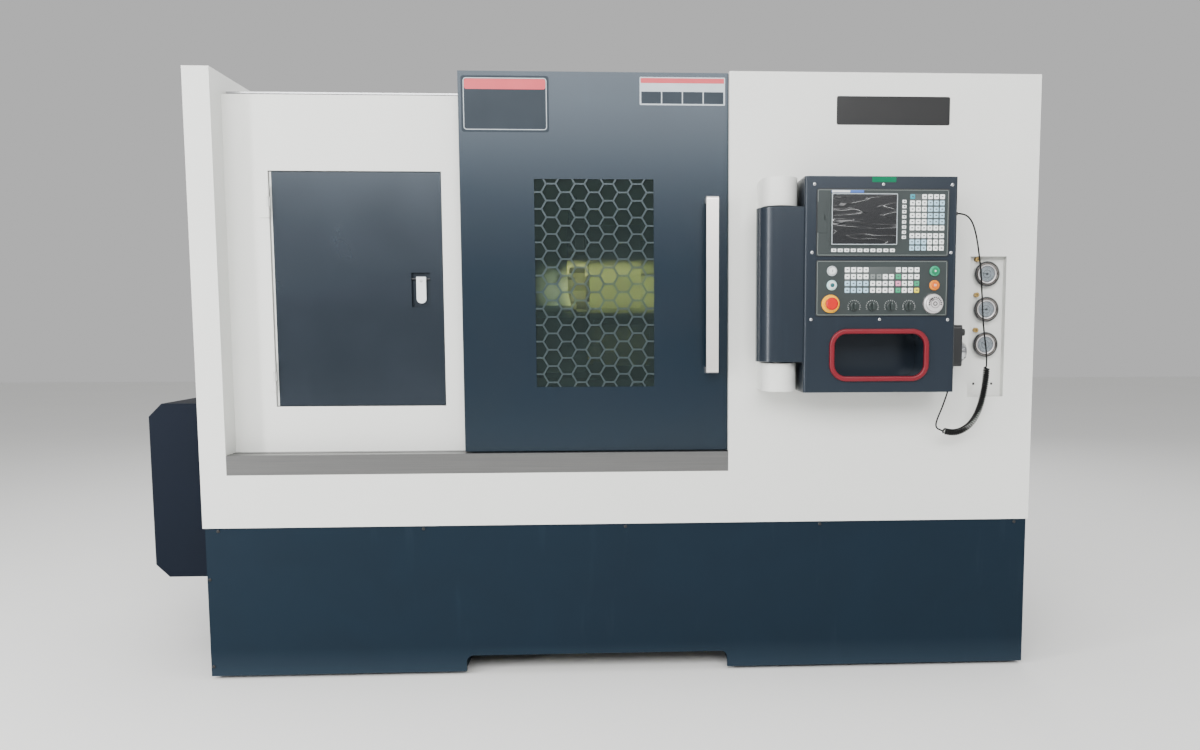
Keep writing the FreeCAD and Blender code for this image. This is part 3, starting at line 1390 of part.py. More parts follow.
def gauge_panel():
    """Recessed tray of the gauges."""
    right = GAUGE_PANEL_LEFT + GAUGE_PANEL_WIDTH
    top = GAUGE_PANEL_BOTTOM + GAUGE_PANEL_HEIGHT
    wall = GAUGE_TRAY_SHEET
    tray = block(GAUGE_PANEL_LEFT, right, 0, GAUGE_PANEL_DEPTH, GAUGE_PANEL_BOTTOM, top)
    room = block(
        GAUGE_PANEL_LEFT + wall,
        right - wall,
        -EXTRA,
        GAUGE_PANEL_DEPTH - wall,
        GAUGE_PANEL_BOTTOM + wall,
        top - wall,
    )
    return tray.cut(room)


def gauge_places():
    """Centres of the gauges on the tray's floor, from the lowest up."""
    x = GAUGE_PANEL_LEFT + GAUGE_PANEL_WIDTH / 2
    floor = GAUGE_PANEL_DEPTH - GAUGE_TRAY_SHEET
    return [Vector(x, floor, GAUGE_LOWEST + i * GAUGE_PITCH) for i in range(GAUGE_COUNT)]


def pressure_gauges():
    """Round gauges with a stepped bezel and a sunk dial."""
    inner = GAUGE_RADIUS - GAUGE_BEZEL
    profile = [
        (0, 0),
        (0, inner),
        (GAUGE_HEIGHT / 2, inner),
        (GAUGE_HEIGHT / 2, GAUGE_RADIUS),
        (GAUGE_HEIGHT - GAUGE_BEZEL / 2, GAUGE_RADIUS),
        (GAUGE_HEIGHT, GAUGE_RADIUS - GAUGE_BEZEL / 2),
        (GAUGE_HEIGHT, inner),
        (GAUGE_HEIGHT - GAUGE_DIAL_RECESS, inner),
        (GAUGE_HEIGHT - GAUGE_DIAL_RECESS, 0),
    ]
    return [turned(profile, place, OUTWARD) for place in gauge_places()]


def gauge_fittings():
    """Brass screwed fittings above and left of each gauge."""
    fittings = []
    neck = FITTING_RADIUS * 0.6
    profile = [
        (0, 0),
        (0, FITTING_RADIUS),
        (FITTING_HEIGHT / 3, FITTING_RADIUS),
        (FITTING_HEIGHT / 3, neck),
        (FITTING_HEIGHT / 2, neck),
        (FITTING_HEIGHT / 2, FITTING_RADIUS),
        (FITTING_HEIGHT, FITTING_RADIUS),
        (FITTING_HEIGHT, 0),
    ]
    for place in gauge_places():
        spot = place + Vector(-FITTING_OFFSET_X, 0, FITTING_OFFSET_Z)
        fittings.append(turned(profile, spot, OUTWARD))
    return fittings


# ---------------------------------------------------------------- console


def console_brackets():
    """Upper and lower bracket from the cabinet, each with a round end and a pivot pin into the barrel."""
    half = BRACKET_WIDTH / 2
    brackets = []
    for low, pin_start in (
        (BARREL_BOTTOM - BRACKET_GAP - BRACKET_HEIGHT, BARREL_BOTTOM - BRACKET_GAP - EXTRA),
        (BARREL_TOP + BRACKET_GAP, BARREL_TOP - PIVOT_PIN_LENGTH),
    ):
        arm = block(PIVOT_X - half, PIVOT_X + half, PIVOT_Y, 0, low, low + BRACKET_HEIGHT)
        head = rod(half, Vector(PIVOT_X, PIVOT_Y, low), Z_AXIS, BRACKET_HEIGHT)
        reach = PIVOT_PIN_LENGTH + BRACKET_GAP + EXTRA
        pin = rod(PIVOT_PIN_RADIUS, Vector(PIVOT_X, PIVOT_Y, pin_start), Z_AXIS, reach)
        brackets.append(joined(arm, head, pin))
    return brackets


def operator_places():
    """Places of every shaft through the operation panel: name, x and z."""
    places = {
        "power_on_button": (BUTTON_LEFT_X, BUTTON_UPPER_Z),
        "power_off_button": (BUTTON_LEFT_X, BUTTON_LOWER_Z),
        "cycle_start_button": (BUTTON_RIGHT_X, BUTTON_UPPER_Z),
        "feed_hold_button": (BUTTON_RIGHT_X, BUTTON_LOWER_Z),
        "estop_button": (ESTOP_X, LOWER_ROW_Z),
        "handwheel": (HANDWHEEL_X, LOWER_ROW_Z),
    }
    for i in range(KNOB_COUNT):
        places["override_knob_" + str(i + 1)] = (KNOB_FIRST_X + i * KNOB_PITCH, LOWER_ROW_Z - KNOB_DROP)
    return places


def operator_bores(front, depth):
    """Holes for every shaft, from a front plane back."""
    return [rod(SHAFT_BORE, Vector(x, front, z), INWARD, depth) for x, z in operator_places().values()]


def console_housing():
    """Console body: front box, pivot barrel on its left, document pocket and shaft bores."""
    body = block(CONSOLE_LEFT, CONSOLE_RIGHT, CONSOLE_FACE, -CONSOLE_REAR_GAP, CONSOLE_BOTTOM, CONSOLE_TOP)
    body = rounded(body, Z_AXIS, CONSOLE_EDGE)
    barrel = rod(BARREL_RADIUS, Vector(PIVOT_X, PIVOT_Y, BARREL_BOTTOM), Z_AXIS, BARREL_TOP - BARREL_BOTTOM)
    web = block(
        PIVOT_X,
        CONSOLE_LEFT + CONSOLE_EDGE,
        PIVOT_Y - BARREL_RADIUS,
        PIVOT_Y + BARREL_RADIUS,
        BARREL_BOTTOM,
        BARREL_TOP,
    )
    body = joined(body, barrel, web)
    rim = POCKET_RIM / 2
    pocket = plate(
        POCKET_LEFT + rim,
        POCKET_LEFT + POCKET_WIDTH - rim,
        CONSOLE_FACE - EXTRA,
        CONSOLE_FACE + DOCUMENT_POCKET_DEPTH,
        POCKET_BOTTOM + rim,
        POCKET_BOTTOM + POCKET_HEIGHT - rim,
        POCKET_CORNER - rim,
    )
    cuts = [pocket]
    for start in (BARREL_BOTTOM - EXTRA, BARREL_TOP - PIVOT_PIN_LENGTH - EXTRA):
        base = Vector(PIVOT_X, PIVOT_Y, start)
        cuts.append(rod(PIVOT_PIN_RADIUS + FIT, base, Z_AXIS, PIVOT_PIN_LENGTH + 2 * EXTRA))
    cuts += operator_bores(CONSOLE_FACE - EXTRA, SHAFT_DEPTH + BUTTON_TRAVEL + ESTOP_TRAVEL)
    return body.cut(cuts)


def pocket_ring():
    """Red rim round the document pocket, rounded at the front."""
    right = POCKET_LEFT + POCKET_WIDTH
    top = POCKET_BOTTOM + POCKET_HEIGHT
    front = CONSOLE_FACE - POCKET_RIM_PROUD
    ring = plate(POCKET_LEFT, right, front, CONSOLE_FACE, POCKET_BOTTOM, top, POCKET_CORNER)
    hole = plate(
        POCKET_LEFT + POCKET_RIM,
        right - POCKET_RIM,
        front - EXTRA,
        CONSOLE_FACE + EXTRA,
        POCKET_BOTTOM + POCKET_RIM,
        top - POCKET_RIM,
        POCKET_CORNER - POCKET_RIM,
    )
    ring = ring.cut(hole)
    front_edges = [edge for edge in ring.Edges if abs(edge.CenterOfMass.y - front) < 0.01]
    return ring.makeFillet(POCKET_RIM_PROUD / 2, front_edges)


def display_panel():
    """Panel of the display and its keys, with the memory-card flap proud of it."""
    panel = plate(
        PANEL_LEFT,
        PANEL_LEFT + PANEL_WIDTH,
        PANEL_FACE,
        CONSOLE_FACE,
        DISPLAY_BOTTOM,
        DISPLAY_BOTTOM + DISPLAY_HEIGHT,
        PANEL_CORNER,
    )
    flap = plate(
        CARD_FLAP_LEFT,
        CARD_FLAP_LEFT + CARD_FLAP_WIDTH,
        PANEL_FACE - KEY_HEIGHT,
        PANEL_FACE + KEY_HEIGHT,
        CARD_FLAP_BOTTOM,
        CARD_FLAP_BOTTOM + CARD_FLAP_HEIGHT,
        KEY_HEIGHT,
    )
    return joined(panel, flap)


def operation_panel():
    """Panel of the operators, bored for their shafts."""
    panel = plate(
        PANEL_LEFT,
        PANEL_LEFT + PANEL_WIDTH,
        PANEL_FACE,
        CONSOLE_FACE,
        OPERATION_BOTTOM,
        OPERATION_BOTTOM + OPERATION_HEIGHT,
        PANEL_CORNER,
    )
    return panel.cut(operator_bores(PANEL_FACE - EXTRA, PANEL_THICKNESS + 2 * EXTRA))


def screen():
    """Display: a proud bezel with a sunk glass."""
    right = SCREEN_LEFT + SCREEN_WIDTH
    top = SCREEN_BOTTOM + SCREEN_HEIGHT
    front = PANEL_FACE - SCREEN_PROUD
    frame = plate(SCREEN_LEFT, right, front, PANEL_FACE, SCREEN_BOTTOM, top, SCREEN_BEZEL / 3)
    glass = block(
        SCREEN_LEFT + SCREEN_BEZEL,
        right - SCREEN_BEZEL,
        front - EXTRA,
        front + SCREEN_RECESS,
        SCREEN_BOTTOM + SCREEN_BEZEL,
        top - SCREEN_BEZEL,
    )
    return frame.cut(glass)


def keypad(keys):
    """One moulded keypad: a thin base under a set of raised keys, given as middles and half sizes."""
    left = min(x - w for x, z, w, h in keys) - KEY_BASE
    right = max(x + w for x, z, w, h in keys) + KEY_BASE
    low = min(z - h for x, z, w, h in keys) - KEY_BASE
    high = max(z + h for x, z, w, h in keys) + KEY_BASE
    base = block(left, right, PANEL_FACE - KEY_BASE, PANEL_FACE, low, high)
    front = PANEL_FACE - KEY_BASE - KEY_HEIGHT
    raised = [block(x - w, x + w, front, PANEL_FACE - KEY_BASE / 2, z - h, z + h) for x, z, w, h in keys]
    return joined(base, *raised)


def panel_keys():
    """Four moulded keypads: under and beside the display, the data keys and the operation keys."""
    soft_half = SOFTKEY_WIDTH / 2
    low_half = SOFTKEY_HEIGHT / 2
    half = KEY_SIZE / 2
    soft = [(SOFTKEY_X + i * SOFTKEY_PITCH, SOFTKEY_Z, soft_half, low_half) for i in range(SOFTKEY_COUNT)]
    side = [(SIDEKEY_X, SIDEKEY_Z + i * SIDEKEY_PITCH, low_half, low_half) for i in range(SIDEKEY_COUNT)]
    data = []
    for row in range(KEYPAD_UPPER_ROWS + KEYPAD_LOWER_ROWS):
        z = KEYPAD_TOP_Z - row * KEY_PITCH - (KEYPAD_BREAK if row >= KEYPAD_UPPER_ROWS else 0)
        for column in range(KEYPAD_COLUMNS):
            data.append((KEYPAD_X + column * (KEY_PITCH - KEY_BASE / 2), z, half, half))
    operation = []
    for block_index in range(OPERATION_BLOCKS):
        for column in range(OPERATION_BLOCK_COLUMNS):
            x = OPERATION_KEY_X + block_index * OPERATION_BLOCK_PITCH + column * OPERATION_KEY_PITCH
            for row in range(OPERATION_ROWS):
                operation.append((x, OPERATION_KEY_Z + row * OPERATION_KEY_ROW_PITCH, half, half))
    return [keypad(keys) for keys in (soft, side, data, operation)]


def button_bezels():
    """Rings round the four buttons and the collar of the emergency stop."""
    rings = []
    for name, (x, z) in operator_places().items():
        centre = Vector(x, PANEL_FACE, z)
        if name.endswith("_button"):
            is_stop = name.startswith("estop")
            outer = ESTOP_COLLAR_RADIUS if is_stop else BUTTON_RING_RADIUS
            height = ESTOP_COLLAR_HEIGHT if is_stop else BUTTON_RING_HEIGHT
            hole = SHAFT_BORE if is_stop else BUTTON_RADIUS + BUTTON_GAP
            profile = [
                (0, hole),
                (0, outer),
                (height / 2, outer),
                (height, outer - height / 3),
                (height, hole),
            ]
            rings.append(turned(profile, centre, OUTWARD))
    return rings


def push_button(name):
    """Round push button: a domed head in its ring, on a shaft through the panel."""
    x, z = operator_places()[name]
    front = BUTTON_RING_HEIGHT + BUTTON_PROUD
    back = BUTTON_TRAVEL + BUTTON_GAP
    profile = [
        (-SHAFT_DEPTH, 0),
        (-SHAFT_DEPTH, SHAFT_RADIUS),
        (back, SHAFT_RADIUS),
        (back, BUTTON_RADIUS),
        (front - BUTTON_PROUD / 3, BUTTON_RADIUS),
        (front, BUTTON_RADIUS - BUTTON_PROUD / 2),
        (front, 0),
    ]
    return turned(profile, Vector(x, PANEL_FACE, z), OUTWARD)


def estop_button():
    """Mushroom head of the emergency stop, on its shaft."""
    x, z = operator_places()["estop_button"]
    back = ESTOP_COLLAR_HEIGHT + ESTOP_TRAVEL + BUTTON_GAP
    front = back + ESTOP_HEIGHT
    profile = [
        (-SHAFT_DEPTH, 0),
        (-SHAFT_DEPTH, SHAFT_RADIUS),
        (back, SHAFT_RADIUS),
        (back, ESTOP_RADIUS * 0.8),
        (back + ESTOP_HEIGHT / 3, ESTOP_RADIUS),
        (front - ESTOP_HEIGHT / 4, ESTOP_RADIUS),
        (front, ESTOP_RADIUS * 0.75),
        (front, 0),
    ]
    return turned(profile, Vector(x, PANEL_FACE, z), OUTWARD)


def override_knob(index):
    """Rotary selector: a tapered skirt with a straight finger grip across it."""
    x, z = operator_places()["override_knob_" + str(index + 1)]
    skirt = KNOB_HEIGHT / 3
    profile = [
        (-SHAFT_DEPTH, 0),
        (-SHAFT_DEPTH, SHAFT_RADIUS),
        (HEAD_GAP, SHAFT_RADIUS),
        (HEAD_GAP, KNOB_RADIUS),
        (skirt, KNOB_RADIUS),
        (skirt + HEAD_GAP, KNOB_RADIUS * 0.8),
        (skirt + HEAD_GAP, 0),
    ]
    base = turned(profile, Vector(x, PANEL_FACE, z), OUTWARD)
    half = KNOB_GRIP / 2
    front = PANEL_FACE - KNOB_HEIGHT
    grip = block(x - half, x + half, front, PANEL_FACE - skirt, z - KNOB_RADIUS * 0.8, z + KNOB_RADIUS * 0.9)
    return joined(base, rounded(grip, X_AXIS, half, lambda centre: centre.y < front + EXTRA))


def handwheel():
    """Pulse-generator handwheel: a turned rim with a finger dimple off its centre."""
    x, z = operator_places()["handwheel"]
    front = HEAD_GAP + HANDWHEEL_HEIGHT
    profile = [
        (-SHAFT_DEPTH, 0),
        (-SHAFT_DEPTH, SHAFT_RADIUS),
        (HEAD_GAP, SHAFT_RADIUS),
        (HEAD_GAP, HANDWHEEL_RADIUS),
        (HANDWHEEL_HEIGHT * 0.35, HANDWHEEL_RADIUS),
        (HANDWHEEL_HEIGHT * 0.45, HANDWHEEL_RADIUS * 0.86),
        (front - HANDWHEEL_HEIGHT / 8, HANDWHEEL_RADIUS * 0.86),
        (front, HANDWHEEL_RADIUS * 0.76),
        (front, 0),
    ]
    wheel = turned(profile, Vector(x, PANEL_FACE, z), OUTWARD)
    aside = HANDWHEEL_DIMPLE_OFFSET / math.sqrt(2)
    spot = Vector(x - aside, PANEL_FACE - front - EXTRA, z + aside)
    return wheel.cut(rod(HANDWHEEL_DIMPLE_RADIUS, spot, INWARD, HANDWHEEL_HEIGHT / 4 + EXTRA))


# ---------------------------------------------------------------- pendant and cord


def pendant_body():
    """Handheld pendant hung on the console's side, its dial side outwards, with two selectors."""
    body = block(
        CONSOLE_RIGHT,
        PENDANT_FACE,
        -PENDANT_REACH,
        -PENDANT_REACH + PENDANT_WIDTH,
        PENDANT_BOTTOM,
        PENDANT_BOTTOM + PENDANT_HEIGHT,
    )
    body = rounded(body, X_AXIS, PENDANT_CORNER)
    knobs = []
    for side in (-1, 1):
        centre = Vector(PENDANT_FACE - EXTRA, PENDANT_Y + side * SELECTOR_SPACING / 2, SELECTOR_Z)
        knobs.append(rod(SELECTOR_RADIUS, centre, X_AXIS, SELECTOR_HEIGHT + EXTRA))
    bore_mouth = Vector(PENDANT_FACE + EXTRA, PENDANT_Y, DIAL_Z)
    bore = rod(SHAFT_BORE, bore_mouth, -X_AXIS, SHAFT_DEPTH + 2 * EXTRA)
    return joined(body, *knobs).cut(bore)


def pendant_dial():
    """Pendant's handwheel on its shaft."""
    profile = [
        (-SHAFT_DEPTH, 0),
        (-SHAFT_DEPTH, SHAFT_RADIUS),
        (HEAD_GAP, SHAFT_RADIUS),
        (HEAD_GAP, DIAL_RADIUS),
        (DIAL_HEIGHT * 0.6, DIAL_RADIUS),
        (DIAL_HEIGHT, DIAL_RADIUS * 0.8),
        (DIAL_HEIGHT, 0),
    ]
    return turned(profile, Vector(PENDANT_FACE, PENDANT_Y, DIAL_Z), X_AXIS)


def beside_console(points):
    """Route points whose x is given from the console's right side."""
    return [(CONSOLE_RIGHT + x, y, z) for x, y, z in points]


# Route of the pendant's cord, chosen by hand: out of the console's side, down, round and up again
LEAD_ROUTE = beside_console(
    [
        (23, -100, 1357),
        (41, -100, 1357),
        (63, -97, 1342),
        (80, -90, 1306),
        (93, -81, 1255),
        (104, -73, 1199),
        (111, -67, 1138),
        (116, -63, 1082),
        (122, -60, 1027),
        (130, -58, 982),
        (134, -57, 948),
        (134, -57, 930),
    ]
)
COIL_ROUTE = beside_console(
    [
        (134, -57, 930),
        (134, -57, 902),
        (131, -57, 868),
        (125, -58, 834),
        (117, -58, 802),
        (104, -59, 772),
        (85, -60, 747),
        (57, -62, 731),
        (26, -64, 728),
        (-3, -66, 738),
    ]
)
TAIL_ROUTE = beside_console(
    [
        (-3, -66, 738),
        (-11, -67, 741),
        (-16, -68, 749),
        (-15, -69, 761),
        (-10, -70, 777),
        (-1, -72, 800),
        (6, -75, 824),
        (13, -79, 850),
        (18, -83, 876),
        (21, -85, 898),
        (21, -85, 912),
    ]
)


def route_wire(name, route):
    """Straight runs along a route, joined by tangent arcs as large as the runs allow."""
    points = [Vector(*point) for point in route]
    edges = []
    radii = []
    start = points[0]
    for before, corner, after in zip(points, points[1:], points[2:]):
        back = before - corner
        ahead = after - corner
        reach = 0.45 * min(back.Length, ahead.Length)
        half_turn = (math.pi - back.getAngle(ahead)) / 2
        radius = reach / math.tan(half_turn)
        back.normalize()
        ahead.normalize()
        middle = (back + ahead).normalize()
        depth = math.hypot(radius, reach) - radius
        first = corner + back * reach
        last = corner + ahead * reach
        edges.append(Part.LineSegment(start, first).toShape())
        edges.append(Part.Arc(first, corner + middle * depth, last).toShape())
        radii.append(round(radius, 1))
        start = last
    edges.append(Part.LineSegment(start, points[-1]).toShape())
    wire = Part.Wire(edges)
    print(name, "radii", radii, "length", round(wire.Length, 1))
    return wire


def tube(name, wire, diameter):
    """Round tube along a wire, with its volume compared with its section times its length."""
    start = wire.Edges[0]
    heading = start.tangentAt(start.FirstParameter)
    ring = Part.Wire(Part.Circle(start.valueAt(start.FirstParameter), heading, diameter / 2).toShape())
    solid = wire.makePipeShell([ring], True, False)
    expected = math.pi * diameter**2 / 4 * wire.Length
    print(name, "volume ratio", round(solid.Volume / expected, 4))
    return solid


def eased(share):
    """Smooth step from 0 to 1."""
    share = min(1.0, max(0.0, share))
    return share * share * (3 - 2 * share)


class CurlyLine:
    """Centreline of the curly cord: a helix round the coil's route, straight at both ends."""

    def __init__(self, route):
        self.length = route.Length
        self.step = self.length / COIL_SAMPLES
        self.centres = route.discretize(Number=COIL_SAMPLES + 1)
        self.run = self.length - 2 * CORD_DIAMETER
        self.across = []
        across = OUTWARD
        for i in range(COIL_SAMPLES + 1):
            ahead = self.centres[min(i + 1, COIL_SAMPLES)] - self.centres[max(i - 1, 0)]
            ahead.normalize()
            across = (across - ahead * across.dot(ahead)).normalize()
            self.across.append((across, ahead.cross(across)))

    def share_of_turns(self, along):
        """Share of all the curls wound by a distance along the run; their rate eases in and out."""
        if along > self.run / 2:
            return 1 - self.share_of_turns(self.run - along)
        eased_part = min(along, CURL_EASE) / CURL_EASE
        wound = CURL_EASE * (eased_part**3 - eased_part**4 / 2) + max(0.0, along - CURL_EASE)
        return wound / (self.run - CURL_EASE)

    def distance_at(self, share):
        """Distance along the route where a share of the curls is wound, by halving."""
        low = 0.0
        high = self.run
        while high - low > 1e-6:
            middle = (low + high) / 2
            if self.share_of_turns(middle) < share:
                low = middle
            else:
                high = middle
        return CORD_DIAMETER + (low + high) / 2

    def point(self, distance):
        """Point of the helix at a distance along the route."""
        place = min(max(distance / self.step, 0.0), COIL_SAMPLES - 1e-6)
        i = int(place)
        share = place - i
        centre = self.centres[i] * (1 - share) + self.centres[i + 1] * share
        along = distance - CORD_DIAMETER
        if along <= 0 or along >= self.run:
            return centre
        swing = eased(min(along, self.run - along) / CURL_SWING) * (COIL_DIAMETER - CORD_DIAMETER) / 2
        angle = 2 * math.pi * CURL_COUNT * self.share_of_turns(along)
        one = self.across[i][0] * (1 - share) + self.across[i + 1][0] * share
        other = self.across[i][1] * (1 - share) + self.across[i + 1][1] * share
        return centre + (one * math.cos(angle) + other * math.sin(angle)) * swing

    def heading(self, distance):
        """Direction of the helix at a distance along the route."""
        reach = self.step / 8
        return (self.point(distance + reach) - self.point(distance - reach)).normalize()


def arc_from(start, heading, end):
    """Arc that leaves a point along a heading and ends at another point, and its radius."""
    chord = end - start
    unit = Vector(chord).normalize()
    side = (heading - unit * heading.dot(unit)).normalize()
    angle = unit.getAngle(heading)
    crown = start + chord * 0.5 + side * (chord.Length / 2 * math.tan(angle / 2))
    return Part.Arc(start, crown, end).toShape(), chord.Length / 2 / math.sin(angle)


def biarc(start, heading, end, last_heading):
    """Two tangent arcs between two points with given headings, and the smaller of their radii."""
    gap = end - start
    both = heading + last_heading
    turn = 2 * (1 - heading.dot(last_heading))
    forward = gap.dot(both)
    reach = (math.sqrt(forward**2 + turn * gap.dot(gap)) - forward) / turn
    joint = (start + end + (heading - last_heading) * reach) * 0.5
    first, first_radius = arc_from(start, heading, joint)
    second, second_radius = arc_from(end, -last_heading, joint)
    return [first, second], min(first_radius, second_radius)


def curly_wire():
    """Wire of the curly cord: biarcs of a quarter turn each, with a straight stretch at both ends."""
    line = CurlyLine(route_wire("curly_cord", COIL_ROUTE))
    quarters = 4 * CURL_COUNT
    places = [line.distance_at(i / quarters) for i in range(1, quarters)]
    places = [CORD_DIAMETER] + places + [line.length - CORD_DIAMETER]
    points = [line.point(place) for place in places]
    headings = [line.heading(place) for place in places]
    headings[0] = (points[0] - line.centres[0]).normalize()
    headings[-1] = (line.centres[-1] - points[-1]).normalize()
    edges = [Part.LineSegment(line.centres[0], points[0]).toShape()]
    tightest = COIL_DIAMETER
    for i in range(quarters):
        arcs, radius = biarc(points[i], headings[i], points[i + 1], headings[i + 1])
        edges += arcs
        tightest = min(tightest, radius)
    edges.append(Part.LineSegment(points[-1], line.centres[-1]).toShape())
    wire = Part.Wire(edges)
    print("curly_cord curls", CURL_COUNT, "tightest radius", round(tightest, 2), "least gap", self_gap(wire))
    return wire


def self_gap(wire):
    """Least gap of the curly cord to itself, measured on points over neighbouring curls."""
    points = []
    for edge in wire.Edges:
        span = edge.LastParameter - edge.FirstParameter
        points += [edge.valueAt(edge.FirstParameter + span * i / 4) for i in range(4)]
    along = [0.0]
    for before, after in zip(points, points[1:]):
        along.append(along[-1] + (after - before).Length)
    curl = math.pi * (COIL_DIAMETER - CORD_DIAMETER)
    gap = COIL_DIAMETER
    for i, point in enumerate(points):
        for j in range(i + 1, len(points)):
            if along[j] - along[i] > 3 * curl:
                break
            if along[j] - along[i] > curl / 2:
                gap = min(gap, (points[j] - point).Length - CORD_DIAMETER)
    return round(gap, 2)


def cord_glands():
    """Screwed gland on the console's side and the strain relief under the pendant."""
    exit_point = Vector(*LEAD_ROUTE[0])
    reach = exit_point.x - CONSOLE_RIGHT
    profile = [
        (0, 0),
        (0, GLAND_NUT_RADIUS),
        (reach * 0.35, GLAND_NUT_RADIUS),
        (reach * 0.35, GLAND_RADIUS),
        (reach * 0.75, GLAND_RADIUS),
        (reach, CORD_DIAMETER * 0.8),
        (reach, 0),
    ]
    gland = turned(profile, Vector(CONSOLE_RIGHT, exit_point.y, exit_point.z), X_AXIS)
    end = Vector(*TAIL_ROUTE[-1])
    height = PENDANT_BOTTOM - end.z
    relief_profile = [
        (0, 0),
        (0, CORD_DIAMETER * 0.8),
        (height, RELIEF_RADIUS),
        (height, 0),
    ]
    return [gland, turned(relief_profile, end, Z_AXIS)]


# ---------------------------------------------------------------- the whole machine


def main():
    os.makedirs("parts", exist_ok=True)
    save("machine_base", *machine_base())
    save("levelling_feet", *levelling_feet())
    save("bed_casting", bed_casting())
    save("headstock", headstock())
    save("spindle", spindle())
    save("spindle_pulley", pulley(SPINDLE_PULLEY_RADIUS, SPINDLE_TAIL_RADIUS, AXIS_Y, AXIS_Z))
    save("motor_pulley", motor_pulley())
    save("drive_belt", drive_belt())
    save("spindle_motor", spindle_motor())
    save("motor_cover", drive_cover())
    save("chuck_body", chuck_body())
    for i in range(JAW_COUNT):
        save("chuck_jaw_" + str(i + 1), jaw(i))
    save("saddle", saddle())
    save("cross_slide", cross_slide())
    save("turret_disc", turret_disc())
    save("tailstock", tailstock())
    save("quill", quill())
    save("left_end_cover", left_end_cover())
    save("lower_front_cover", lower_front_cover())
    save("fixed_front_panel", fixed_front_panel())
    save("access_door", access_door())
    save("access_latch", access_latch())
    save("guide_strip", guide_strip())
    save("door_top_rail", door_top_rail())
    save("control_cabinet", control_cabinet())
    save("roof_cover", roof_cover())
    save("rear_cover", rear_cover())
    save("splash_guard", splash_guard())
    save("door_panel", door_panel())
    save("door_window", door_window())
    save("door_handle", door_handle())
    save("gauge_panel", gauge_panel())
    save("pressure_gauges", *pressure_gauges())
    save("gauge_fittings", *gauge_fittings())
    save("console_brackets", *console_brackets())
    save("console_housing", console_housing())
    save("pocket_ring", pocket_ring())
    save("display_panel", display_panel())
    save("screen", screen())
    save("panel_keys", *panel_keys())
    save("operation_panel", operation_panel())
    save("button_bezels", *button_bezels())
    for name in ("power_on_button", "power_off_button", "cycle_start_button", "feed_hold_button"):
        save(name, push_button(name))
    save("estop_button", estop_button())
    for i in range(KNOB_COUNT):
        save("override_knob_" + str(i + 1), override_knob(i))
    save("handwheel", handwheel())
    save("pendant_body", pendant_body())
    save("pendant_dial", pendant_dial())
    save("cord_glands", *cord_glands())
    save("cord_lead", tube("cord_lead", route_wire("cord_lead", LEAD_ROUTE), CORD_DIAMETER))
    save("curly_cord", tube("curly_cord", curly_wire(), CORD_DIAMETER))
    save("cord_tail", tube("cord_tail", route_wire("cord_tail", TAIL_ROUTE), CORD_DIAMETER))


main()
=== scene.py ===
"""Looks of a slant-bed turning lathe: finishes, keys, dials, screws, cord, studio and camera."""

import logging
import math
from dataclasses import dataclass, field
from enum import Enum
from typing import Any, Sequence

import bmesh
import bpy
from mathutils import Matrix, Vector


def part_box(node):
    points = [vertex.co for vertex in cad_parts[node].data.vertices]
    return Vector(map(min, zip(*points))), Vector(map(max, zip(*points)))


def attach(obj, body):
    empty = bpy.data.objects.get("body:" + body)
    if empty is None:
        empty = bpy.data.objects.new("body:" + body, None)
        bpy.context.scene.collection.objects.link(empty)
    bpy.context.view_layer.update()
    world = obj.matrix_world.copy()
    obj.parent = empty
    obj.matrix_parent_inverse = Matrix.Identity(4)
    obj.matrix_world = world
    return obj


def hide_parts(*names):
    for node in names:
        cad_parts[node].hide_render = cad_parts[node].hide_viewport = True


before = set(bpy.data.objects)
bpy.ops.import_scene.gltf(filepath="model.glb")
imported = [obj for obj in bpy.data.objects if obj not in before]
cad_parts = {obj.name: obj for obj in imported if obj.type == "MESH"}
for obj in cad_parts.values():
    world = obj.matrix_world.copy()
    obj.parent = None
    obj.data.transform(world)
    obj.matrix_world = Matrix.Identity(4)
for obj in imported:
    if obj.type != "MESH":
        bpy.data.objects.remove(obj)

LOG = logging.getLogger("lathe")
MM = 0.001
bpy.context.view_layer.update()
# The enclosure's front left edge: places below are millimetres right, back and up from it and the floor
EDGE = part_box("left_end_cover")[0]
ORIGIN = Vector((0, 0, 0))
FRONT = Vector((0, -1, 0))

# Kinds of node
NOISE = "ShaderNodeTexNoise"
MATH = "ShaderNodeMath"
VECTOR_MATH = "ShaderNodeVectorMath"
MIX = "ShaderNodeMix"
RANGE = "ShaderNodeMapRange"
SPLIT = "ShaderNodeSeparateXYZ"
JOIN = "ShaderNodeCombineXYZ"
BUMP = "ShaderNodeBump"

Tree = bpy.types.NodeTree
Node = bpy.types.Node
Socket = bpy.types.NodeSocket
Piece = bpy.types.Object
Loop = list[Vector]
Place = tuple[float, float, float]
# Left, right, low and high side, in machine millimetres
Sides = tuple[float, float, float, float]
# Share of a coat and the paint that it takes
Layer = tuple[Node, str]


# ---------------------------------------------------------------- small tools


def spot(x: float, y: float, z: float) -> Vector:
    """Frame point, in metres, of a place in millimetres from the enclosure's front left edge."""
    return Vector((EDGE.x + x * MM, EDGE.y + y * MM, z * MM))


def middle(node: str) -> Vector:
    """Middle of a CAD node's box."""
    low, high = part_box(node)
    return (low + high) / 2


def face_of(node: str) -> Vector:
    """Middle of the front of a CAD node's box."""
    centre = middle(node)
    return Vector((centre.x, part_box(node)[0].y, centre.z))


def depth_of(point: Vector) -> float:
    """Millimetres from the enclosure's front left edge back to a point."""
    return (point.y - EDGE.y) / MM


def sides_of(node: str) -> Sides:
    """Sides of a CAD node, seen from the front."""
    low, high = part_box(node)
    return (low.x - EDGE.x) / MM, (high.x - EDGE.x) / MM, low.z / MM, high.z / MM


